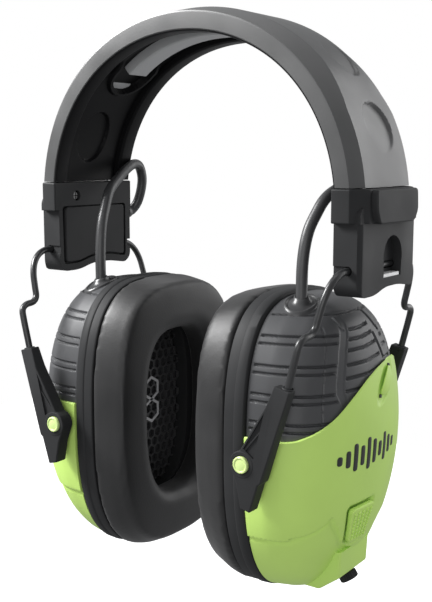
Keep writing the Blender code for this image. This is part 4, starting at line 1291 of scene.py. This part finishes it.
def tread(points, normals):
    """How far the shell's surface sinks at each point, in millimetres."""
    x, y, z = points[..., 0], points[..., 1], points[..., 2]
    steep = np.sqrt(np.clip(1 - normals[..., 2] ** 2, 0.05, 1.0))
    front, rear, half = line_y(FRONT_STRIP, z), line_y(REAR_STRIP, z), STRIP_HALF_WIDTH
    below_cap = smoothstep(CAP_FOOT_Z + 0.3, CAP_FOOT_Z - 0.3, z)
    above_cover = smoothstep(TREAD_FOOT_Z, TREAD_FOOT_Z + 1.0, z)
    side = smoothstep(0.0, 0.5, np.maximum(front - half - y, y - rear - half))
    side = side * below_cap * above_cover * smoothstep(36.6, 37.2, x)
    sunk, raised = side_tread(z, steep)
    sunk = side * (sunk - raised)
    sunk += 0.3 * groove(y - line_y(FINE_LINE, z), 0.22, 0.2) * below_cap * above_cover * (x > 37)
    top = smoothstep(0.0, 0.5, np.minimum(y - front - half, 3.48 - y - 0.28 * (z + 95.0))) * above_cover
    leaning = z - 0.10 * np.maximum(0.0, y + 4.0)
    for line in TOP_GROOVES:
        sunk = np.maximum(sunk, top * 0.8 * groove((leaning - line) / steep, 0.38, 0.24))
        sunk -= top * 0.3 * groove((leaning - line + 1.0) / steep, 0.26, 0.22)
    back = smoothstep(0.0, 0.5, np.minimum(rear - half - y, y - 8.6)) * above_cover * below_cap
    for line in TOP_GROOVES:
        sunk = np.maximum(sunk, back * 0.6 * groove(z - line + 1.2, 0.45))
    for line in STEEP_LINES:
        high, low = line[0][0], line[-1][0]
        reach = smoothstep(low - 0.4, low + 0.2, z) * (1 - smoothstep(high - 0.2, high + 0.4, z))
        away = y - line_y(line, z)
        sunk = np.maximum(sunk, 1.3 * reach * groove(away, 0.62)) - 0.35 * reach * groove(away - 1.5, 0.5)
    for strip in (front, rear):
        flat = groove(y - strip, 1.5, 0.25) * smoothstep(-89.0, -90.0, z) * above_cover
        sunk = np.maximum(sunk, 0.28 * flat)
    crown = groove((z - CROWN_LINE_Z) / steep, 0.34, 0.24) * smoothstep(36.8, 37.6, x)
    sunk = np.maximum(sunk, 0.75 * crown)
    tick = groove(y + 11.6 + 0.35 * (z + 92.0), 0.3, 0.2)
    return sunk - 0.45 * tick * smoothstep(-94.6, -94.2, z) * (1 - smoothstep(-90.9, -90.5, z))


def make_shell(name):
    """The outer shell with its moulded tread, closed behind by a thin wall."""
    shares = np.concatenate([np.linspace(0.0, 0.9, 150), np.linspace(0.9, 0.995, 8)[1:]])
    turns = even_turns(1000)
    outer = shell_rows(shares, turns)
    normals = row_normals(outer)
    outer = outer - normals * (tread(outer, normals) + button_well(outer, WELL_IN_SHELL))[..., None]
    inner = shell_rows(np.linspace(0.0, 0.97, 24), turns, grow=-SHELL_WALL)
    inner[:, :, 0] -= 1.5 * smoothstep(0.0, 8.0, inner[:, :, 0] - SHELL_X)
    inner[0, :, 0] = SHELL_X
    return skin(name, np.concatenate([inner[::-1], outer]), "shell", sharp=24.0)


def make_rim(name):
    """The cup's inner flange, with one low step round its outside."""
    rows = [cup_row(x, CUP_HALF_WIDTH + grow, CUP_HALF_HEIGHT + grow) for x, grow in RIM_PROFILE]
    back, floor, front = RIM_PROFILE[-1][0], 30.0, RIM_PROFILE[0][0]
    rows += [cup_row(x, *RIM_INSIDE) for x in (back, floor)]
    rows += [cup_row(x, EAR_HALF_WIDTH + 3.0, EAR_HALF_HEIGHT + 3.0, EAR_Z) for x in (floor, front)]
    return skin(name, rows, "charcoal", along=True)


# Cover -------------------------------------------------------------------------------------------


def height_over(y, z, line):
    """Signed distance of each (y, z) from an open line, positive above it."""
    best = np.full(np.shape(y), 1e9)
    for (ay, az), (by, bz) in zip(line[:-1], line[1:]):
        span = np.array([by - ay, bz - az])
        share = np.clip(((y - ay) * span[0] + (z - az) * span[1]) / (span @ span), 0, 1)
        best = np.minimum(best, np.hypot(y - ay - share * span[0], z - az - share * span[1]))
    return np.where(z > np.interp(y, line[:, 0], line[:, 1]), best, -best)


EDGE_LINE = smooth_line(COVER_EDGE, 12)
STEP_LINE = smooth_line(COVER_STEP, 6)


def cover_height(points, with_button):
    """How far the cover's face sinks: below the step, at its edge, round the microphone and the button."""
    y, z = points[..., 1], points[..., 2]
    over_step = height_over(y, z, STEP_LINE)
    sunk = STEP_DROP * (1 - smoothstep(-0.5, 0.1, over_step))
    sunk += STEP_GROOVE * groove(over_step + 1.1, 0.55, 0.7)
    sunk += EDGE_ROUND * (1 - smoothstep(0.0, 0.45, -height_over(y, z, EDGE_LINE)))
    sunk += LEAF_MOAT * (1 - smoothstep(0.2, 1.3, outside_leaf(points)))
    if with_button:
        sunk += BUTTON_MOAT * (1 - smoothstep(0.35, 1.6, outside_button(points)))
    return np.minimum(sunk, MOST_SUNK)


def cover_starts(turns):
    """For each turn, the share at which the cover's edge meets the body, its pole being 1."""
    shares = np.linspace(0.0, 0.995, 400)
    body = shell_rows(shares, turns, COVER_OUT, COVER_RISE * COVER_OUT)
    over = height_over(body[..., 1], body[..., 2], EDGE_LINE)
    starts = []
    for column in over.T:
        bare = np.where(column > 0)[0]
        last = bare[-1] if len(bare) else None
        if last is None:
            starts.append(0.0)
        elif last == len(shares) - 1:
            starts.append(shares[-1])
        else:
            a, b = column[last], column[last + 1]
            starts.append(shares[last] + (shares[last + 1] - shares[last]) * a / (a - b))
    return np.array(starts)


def cover_surface(turns, starts, count, grow):
    """Rows from the cover's edge to its pole, each column beginning at its own share."""
    shares = starts + (COVER_POLE - starts) * np.linspace(0, 1, count)[:, None]
    return shell_points(shares, np.broadcast_to(turns, shares.shape), grow, COVER_RISE * grow)


def make_cover(name, with_button):
    """The cover's face with its step, moat and swept edge, over a plain underside."""
    turns = even_turns(600)
    starts = cover_starts(turns)
    face = cover_surface(turns, starts, 130, COVER_OUT)
    under = cover_surface(turns, starts, 60, COVER_UNDER)
    sunk = cover_height(face, with_button)
    if with_button:
        sunk = sunk + button_well(face, WELL_IN_FACE)
        under = under - row_normals(under) * button_well(under, WELL_IN_UNDERSIDE)[..., None]
    face = face - row_normals(face) * sunk[..., None]
    return skin(name, np.concatenate([under[::-1], face]), "lime", sharp=30.0)


def dots_on(centres):
    """Small raised domes as one mesh."""
    bm = bmesh.new()
    for centre in centres:
        rings = []
        for share, rise in ((1.0, 0.0), (0.92, 0.55), (0.6, 0.9), (0.1, 1.0)):
            ring = circle(DOT_RADIUS * share, centre, 12)
            rings.append([bm.verts.new((a, b, DOT_BASE + DOT_RISE * rise)) for a, b in ring])
        for low, high in zip(rings, rings[1:]):
            for i in range(12):
                bm.faces.new((low[i - 1], low[i], high[i], high[i - 1]))
        bm.faces.new(rings[-1])
        bm.faces.new(rings[0])
    return object_from("dots", bm, "lime")


def make_button(name):
    """The press button: a tapered pad with rows of small domes."""
    top, foot, height = BUTTON_HALF
    outline = rounded([(-top, height), (-foot, -height), (foot, -height), (top, height)], 1.9, 6)
    pad = prism(name, outline, "z", *BUTTON_Z, "lime", bevel=0.5)
    centres = []
    for row in range(DOT_ROWS):
        b = DOTS_TOP - DOT_PITCH * row
        reach = 3.4 + (b + DOTS_TOP) / 8
        centres += [(a, b) for a in np.linspace(-reach, reach, DOTS_IN_ROW)]
    return seated(merge(pad, dots_on(centres)), BUTTON_SEAT)


def make_mic_cover(name):
    """The leaf over the microphone: a bowed bar between two ports, their insides drawn as black discs of
    painted shade.
    """
    rows = []
    for share in np.linspace(-1, 1, 41):
        along = 0.8 * MIC_HALF[1] * share
        half = max(0.12, 0.95 * MIC_HALF[0] * math.sqrt(1 - share * share))
        bow = 0.75 - 0.9 * abs(share) ** 2.4
        section = []
        for a, up in circle(1.0, count=28):
            thick = 0.35 * (1 - 0.2 * abs(a)) if up > 0 else 0.8
            section.append((half * a, along, bow + thick * up))
        rows.append(section)
    return seated_mic(skin(name, rows, "lime"))


def make_mic_port_shade(name):
    """Black discs at both ends of the leaf: painted shade for the insides of the ports."""
    mouths = [circle(PORT_RADIUS, (0.0, along), 24) for along in (-PORT_AT, PORT_AT)]
    return seated_mic(merge(*[prism(name, mouth, "z", *PORT_Z, "mark", bevel=0.1) for mouth in mouths]))


def on_cover(y, z, stand_off):
    place, normal, _, _ = COVER_BODY.ray_cast(Vector((100.0, y, z)), Vector((-1, 0, 0)))
    return place + normal * stand_off


def make_sound_bars(name):
    """A printed row of upright bars, like a level meter: the generic mark on the cover."""
    bm = bmesh.new()
    for i, tall in enumerate(BAR_HEIGHTS):
        middle = BARS_FROM[0] + BAR_PITCH * i
        rows = []
        for share in 0.5 - 0.5 * np.cos(np.linspace(0, np.pi, 15)):
            from_end = min(tall * min(share, 1 - share) + 1e-3, BAR_ROUND)
            half = BAR_HALF_WIDTH - BAR_ROUND * (1 - math.sqrt(from_end / BAR_ROUND)) ** 2
            z = BARS_FROM[1] + tall * (share - 0.5)
            places = [on_cover(y, z, BAR_LIFT) for y in np.linspace(middle - half, middle + half, 4)]
            rows.append([bm.verts.new(place) for place in places])
        for low, high in zip(rows, rows[1:]):
            for k in range(3):
                bm.faces.new((low[k], low[k + 1], high[k + 1], high[k]))
    return modified(object_from(name, bm, "mark"), "SOLIDIFY", {"thickness": BAR_THICK * MM, "offset": 0.0})


def make_foot_block(name):
    """The block at the cover's foot, with a low step along its top."""
    inner, edge, outer, top = FOOT_X
    foot, shoulder, head = FOOT_Z
    front, rear = FOOT_Y
    outline = [(inner, foot), (edge, foot), (outer, shoulder), (top, head), (inner, head)]
    block = prism(name, outline, "y", front, rear, "lime", bevel=0.7)
    step = rectangle(outer - 1.2, top + 2, head - 2.0, head + 2)
    return bevelled(cut(block, prism("step", step, "y", front - 1, rear + 1, "lime")), 0.3)


def make_knob(name):
    """A ridged knob with a chamfered crown, a pointer rib and a stem."""
    rows, turns = [], full_turn(144)
    for up, shrink in KNOB_PROFILE:
        ridge = KNOB_RIDGE if shrink < 0.3 else 0.0
        radii = KNOB_RADIUS - KNOB_RIDGE - shrink + ridge * np.cos(KNOB_RIDGES * turns)
        rows.append([(r * math.cos(t), r * math.sin(t), up) for r, t in zip(radii, turns)])
    bar = rounded(rectangle(-0.35, 0.35, -2.0, 2.0), 0.3)
    pointer = prism("pointer", bar, "z", KNOB_HEIGHT - 0.5, KNOB_HEIGHT + 0.05, "charcoal", bevel=0.12)
    stem = prism("stem", circle(1.3), "z", -1.6, 0.6, "charcoal")
    knob = merge(skin(name, rows, "charcoal"), pointer, stem)
    turn = Matrix.Rotation(math.radians(180 - KNOB_TILT), 4, "Y")
    knob.data.transform(Matrix.Translation(Vector(KNOB_AT) * MM) @ turn)
    return knob


def make_grommet(name):
    """The cable's oval flange on the cup's crown: a raised bead round it, and a collar on the cable."""
    tree = surface_tree()
    rows = []
    for a, b, above in GROMMET_PROFILE:
        row = []
        for c, s in circle(1.0, count=64):
            x, y = GROMMET_AT[0] + a * c, GROMMET_AT[1] + b * s
            place, _, _, _ = tree.ray_cast(Vector((max(x, SHELL_X + 0.1), y, 0.0)), Vector((0, 0, -1)))
            row.append((x, y, place.z + above))
        rows.append(row)
    return skin(name, rows, "cable")


def build_cups():
    """Both cups; the button, its well, the foot block and the knob are on the left one only."""
    dress_pair(make_rim, "rim_skin", "cup", "charcoal", "rim")
    dress_pair(make_shell, "shell_skin", "cup", "shell", "shell")
    dress_pair(make_grommet, "grommet_skin", "cup", "cable", "grommet")
    dress_pair(make_mic_cover, "mic_leaf", "cup", "lime", "mic_cover")
    dress_pair(make_mic_port_shade, "mic_port_shade", "cup", "mark")
    dress_pair(make_sound_bars, "sound_bars", "cup", "mark")
    without_button = make_cover("cover", False)
    dress(mirrored(without_button, "x", f"{RIGHT}_cover_skin"), f"{RIGHT}_cup", "lime", f"{RIGHT}_cover")
    bpy.data.objects.remove(without_button, do_unlink=True)
    dress(make_cover(f"{LEFT}_cover_skin", True), f"{LEFT}_cup", "lime", f"{LEFT}_cover")
    dress(make_foot_block(f"{LEFT}_foot_skin"), f"{LEFT}_cup", "lime", f"{LEFT}_foot_block")
    dress(make_button(f"{LEFT}_button_skin"), f"{LEFT}_button", "lime", f"{LEFT}_button")
    dress(make_knob(f"{LEFT}_knob_skin"), f"{LEFT}_knob", "charcoal", f"{LEFT}_knob")


# Cushions and grilles ----------------------------------------------------------------------------


def cushion_rows():
    """Rings round the pad, a little smaller than it comes out, down its outside and up its inside."""
    rows = []
    for x, grow, drop in CUSHION_OUTSIDE:
        half_height = CUP_HALF_HEIGHT + grow - drop / 2
        rows.append(cup_row(x, CUP_HALF_WIDTH + grow, half_height, CUP_Z + drop / 2, CUSHION_POWER))
    shift_y, shift_z = CUSHION_HOLE_SHIFT
    for x, grow in CUSHION_INSIDE:
        row = cup_row(x, EAR_HALF_WIDTH + grow, EAR_HALF_HEIGHT - 2.2 + grow, EAR_Z + shift_z)
        rows.append(row + np.array([0.0, shift_y, 0.0]))
    return rows


def inflate(obj):
    """Fills the pad with soft pressure while its back stays held by the plate."""
    held = [v.index for v in obj.data.vertices if v.co.x > HELD_BEYOND_X * MM]
    obj.vertex_groups.new(name="held").add(held, 1.0, "REPLACE")
    cloth = obj.modifiers.new("cloth", "CLOTH")
    cloth.settings.use_pressure = True
    cloth.settings.uniform_pressure_force = PRESSURE
    cloth.settings.vertex_group_mass = "held"
    cloth.settings.effector_weights.gravity = 0.0
    cloth.settings.tension_stiffness = 25
    cloth.settings.compression_stiffness = 20
    cloth.settings.bending_stiffness = 4
    cloth.collision_settings.use_collision = False
    cloth.point_cache.frame_start, cloth.point_cache.frame_end = 1, SWELL_FRAMES
    for step in range(1, SWELL_FRAMES + 1):
        bpy.context.scene.frame_set(step)
    settled(obj)
    obj.vertex_groups.clear()
    bpy.context.scene.frame_set(1)


def make_cushion(name):
    """The ring-shaped pad: drawn, remeshed, swelled by cloth simulation, kept near its shape, subdivided."""
    pad = skin(name, cushion_rows(), "cushion", along=True)
    modified(pad, "REMESH", {"mode": "VOXEL", "voxel_size": VOXEL * MM})
    homes = [v.co.copy() for v in pad.data.vertices]
    inflate(pad)
    for vertex, home in zip(pad.data.vertices, homes):
        move = vertex.co - home
        if move.length > MOST_SWELL * MM:
            vertex.co = home + move.normalized() * MOST_SWELL * MM
    modified(pad, "SUBSURF", {"levels": 1, "render_levels": 1})
    pad.data.materials.clear()
    pad.data.materials.append(MATERIALS["cushion"])
    pad.data.shade_smooth()
    return pad


def make_cushion_seam(name):
    """The welt round the pad's side: a round cord along a closed path in a plane across X."""
    x, half_width, half_height = CUSHION_X[1] - 3.5, CUP_HALF_WIDTH + 0.55, CUP_HALF_HEIGHT + 0.45
    path = cup_row(x, half_width, half_height, CUP_Z + 0.1, CUSHION_POWER)
    tangents = np.roll(path, -1, axis=0) - np.roll(path, 1, axis=0)
    tangents /= np.linalg.norm(tangents, axis=1)[:, None]
    turns, along_x = full_turn(12)[:, None], np.array([1.0, 0, 0])
    rings = np.cos(turns) * along_x + np.sin(turns) * np.cross(tangents, along_x)[:, None]
    return skin(name, path[:, None] + SEAM_RADIUS * rings, "cushion", along=True)


def honeycomb_cell(bm, y, z):
    """One six-sided frame of the grille, open in the middle."""
    outer, inner = CELL_PITCH / math.sqrt(3), (CELL_PITCH - CELL_BAR) / math.sqrt(3)
    back, face = GRILLE_X + GRILLE_THICK / 2, GRILLE_X - GRILLE_THICK / 2
    rings = []
    for radius, x in ((outer, back), (outer, face), (inner + 0.02, face), (inner, face + 0.1), (inner, back)):
        rings.append([bm.verts.new((x, *corner)) for corner in hexagon((y, z), radius)])
    for low, high in zip(rings[1:], rings[2:] + rings[:1]):
        for k in range(6):
            bm.faces.new((low[k - 1], low[k], high[k], high[k - 1]))


def make_grille(name):
    """The black honeycomb behind the ear opening."""
    bm = bmesh.new()
    half_width, half_height = EAR_HALF_WIDTH + 2.2, EAR_HALF_HEIGHT + 2.2
    for row in range(-12, 13):
        for column in range(-7, 8):
            y = CELL_PITCH * (column + (row % 2) / 2)
            rise = CELL_PITCH * math.sqrt(3) / 2 * row
            if (abs(y) / half_width) ** 3 + (abs(rise) / half_height) ** 3 <= 1:
                honeycomb_cell(bm, y, EAR_Z + rise)
    bmesh.ops.remove_doubles(bm, verts=bm.verts, dist=0.01)
    return object_from(name, bm, "grille")


def make_grille_mark(name):
    """Two plain outlined hexagons, one above the other, printed on the grille."""
    rings = []
    for centre in MARK_HEXAGONS:
        plate = prism(name, hexagon(centre, MARK_RADIUS), "x", GRILLE_X - 0.75, GRILLE_X - 0.45, "hex")
        inside = hexagon(centre, MARK_RADIUS - MARK_STROKE)
        rings.append(cut(plate, prism("hole", inside, "x", GRILLE_X - 2, GRILLE_X + 2, "hex")))
    return merge(*rings)


def make_foam_pad(name):
    """The foam behind the grille, its face rounded off at the edge."""
    half_width, half_height = EAR_HALF_WIDTH + 2.4, EAR_HALF_HEIGHT + 2.4
    rows = [cup_row(GRILLE_X + x, half_width * s, half_height * s, EAR_Z) for x, s in FOAM_PROFILE]
    return skin(name, rows, "foam")


def build_ear_sides():
    for cushion in dress_pair(make_cushion, "cushion_pad", "cup", "cushion", "cushion"):
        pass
    dress_pair(make_cushion_seam, "cushion_seam", "cup", "cushion")
    dress_pair(make_grille, "grille_mesh", "cup", "grille", "grille")
    dress_pair(make_grille_mark, "grille_mark", "cup", "hex")
    dress_pair(make_foam_pad, "grille_foam", "cup", "foam")


# Cable loops -------------------------------------------------------------------------------------


def build_loops():
    """Each side's cable in three pieces, foot, middle and head, the foot at the cup and the head at the end
    piece.
    """
    path = smooth_route(LOOP_ROUTE, 0.6)
    splits = [round(share * (len(path) - 1)) for share in LOOP_SPLITS]
    for side, sign in ((LEFT, 1), (RIGHT, -1)):
        for i, part in enumerate(("foot", "middle", "head")):
            points = path[splits[i] : splits[i + 1] + 1] * np.array([sign, 1, 1])
            piece = tube(f"{side}_cable_{part}", points, CABLE_RADIUS, "cable", 28)
            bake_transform(piece)
            if part == "middle":
                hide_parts(f"{side}_cable_loop")


# Inner pieces kept from the CAD ------------------------------------------------------------------


def finish_inner_pieces():
    finishes = {"spring_strip": "steel", "band_lead": "cable"}
    for side in (LEFT, RIGHT):
        finishes[f"{side}_cushion_plate"] = "charcoal"
        finishes[f"{side}_foam_liner"] = "foam"
        finishes[f"{side}_driver"] = "steel"
    finishes[f"{LEFT}_circuit_board"] = "board"
    finishes[f"{RIGHT}_battery"] = "battery"
    for node, finish in finishes.items():
        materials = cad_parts[node].data.materials
        materials.clear()
        materials.append(MATERIALS[finish])


# Camera, light and floor -------------------------------------------------------------------------


def build_camera():
    azimuth, elevation = math.radians(CAMERA_AZIMUTH), math.radians(CAMERA_ELEVATION)
    level = math.cos(elevation)
    back = Vector((math.sin(azimuth) * level, -math.cos(azimuth) * level, math.sin(elevation)))
    camera = add_object("camera", bpy.data.cameras.new("camera"))
    camera.data.lens = CAMERA_LENS
    camera.data.sensor_width = 36.0
    camera.data.clip_start = 0.01
    camera.location = (Vector(CAMERA_TARGET) + back * CAMERA_DISTANCE) * MM
    camera.rotation_mode = "QUATERNION"
    camera.rotation_quaternion = (-back).to_track_quat("-Z", "Y")
    bpy.context.scene.camera = camera


def add_area(name, place, aim, size, power):
    """A soft light at a place, aimed at another."""
    light = bpy.data.lights.new(name, "AREA")
    light.shape = "RECTANGLE"
    light.size, light.size_y = size[0] * MM, size[1] * MM
    light.energy = power
    obj = add_object(name, light)
    obj.location = Vector(place) * MM
    obj.rotation_mode = "QUATERNION"
    obj.rotation_quaternion = (Vector(aim) - Vector(place)).to_track_quat("-Z", "Y")


def build_world():
    """White behind the object, and a dimmer grey for what lights it."""
    world = bpy.data.worlds.new("studio")
    world.use_nodes = True
    nodes, links = world.node_tree.nodes, world.node_tree.links
    lighting = nodes["Background"]
    lighting.inputs["Color"].default_value = (*WORLD_COLOUR, 1)
    lighting.inputs["Strength"].default_value = WORLD_STRENGTH
    backdrop = nodes.new("ShaderNodeBackground")
    backdrop.inputs["Color"].default_value = (1, 1, 1, 1)
    backdrop.inputs["Strength"].default_value = 1.0
    path = nodes.new("ShaderNodeLightPath")
    mix = nodes.new("ShaderNodeMixShader")
    links.new(path.outputs["Is Camera Ray"], mix.inputs["Fac"])
    links.new(lighting.outputs["Background"], mix.inputs[1])
    links.new(backdrop.outputs["Background"], mix.inputs[2])
    links.new(mix.outputs["Shader"], nodes["World Output"].inputs["Surface"])
    bpy.context.scene.world = world
    bpy.context.scene.view_settings.view_transform = "Standard"


def build_floor():
    """A pale floor well below the cups, which the object doesn't mirror."""
    bm = bmesh.new()
    corners = rectangle(-FLOOR_REACH, FLOOR_REACH, -FLOOR_REACH, FLOOR_REACH)
    bm.faces.new([bm.verts.new((x, y, FLOOR_Z)) for x, y in corners])
    floor = object_from("floor", bm, "hex")
    finish = Finish("floor", (0.9, 0.9, 0.9), roughness=0.8)
    finish.set(finish.shader, {"Emission Color": (1, 1, 1, 1), "Emission Strength": 1.0})
    floor.data.materials[0] = finish.made
    floor.visible_diffuse = floor.visible_glossy = False


def build_studio():
    build_world()
    build_floor()
    for name, (place, aim, size, power) in LIGHTS.items():
        add_area(name, place, aim, size, power)


build_camera()
build_loops()
build_headband()
build_end_pieces()
build_bails()
build_cups()
build_ear_sides()
finish_inner_pieces()
build_studio()
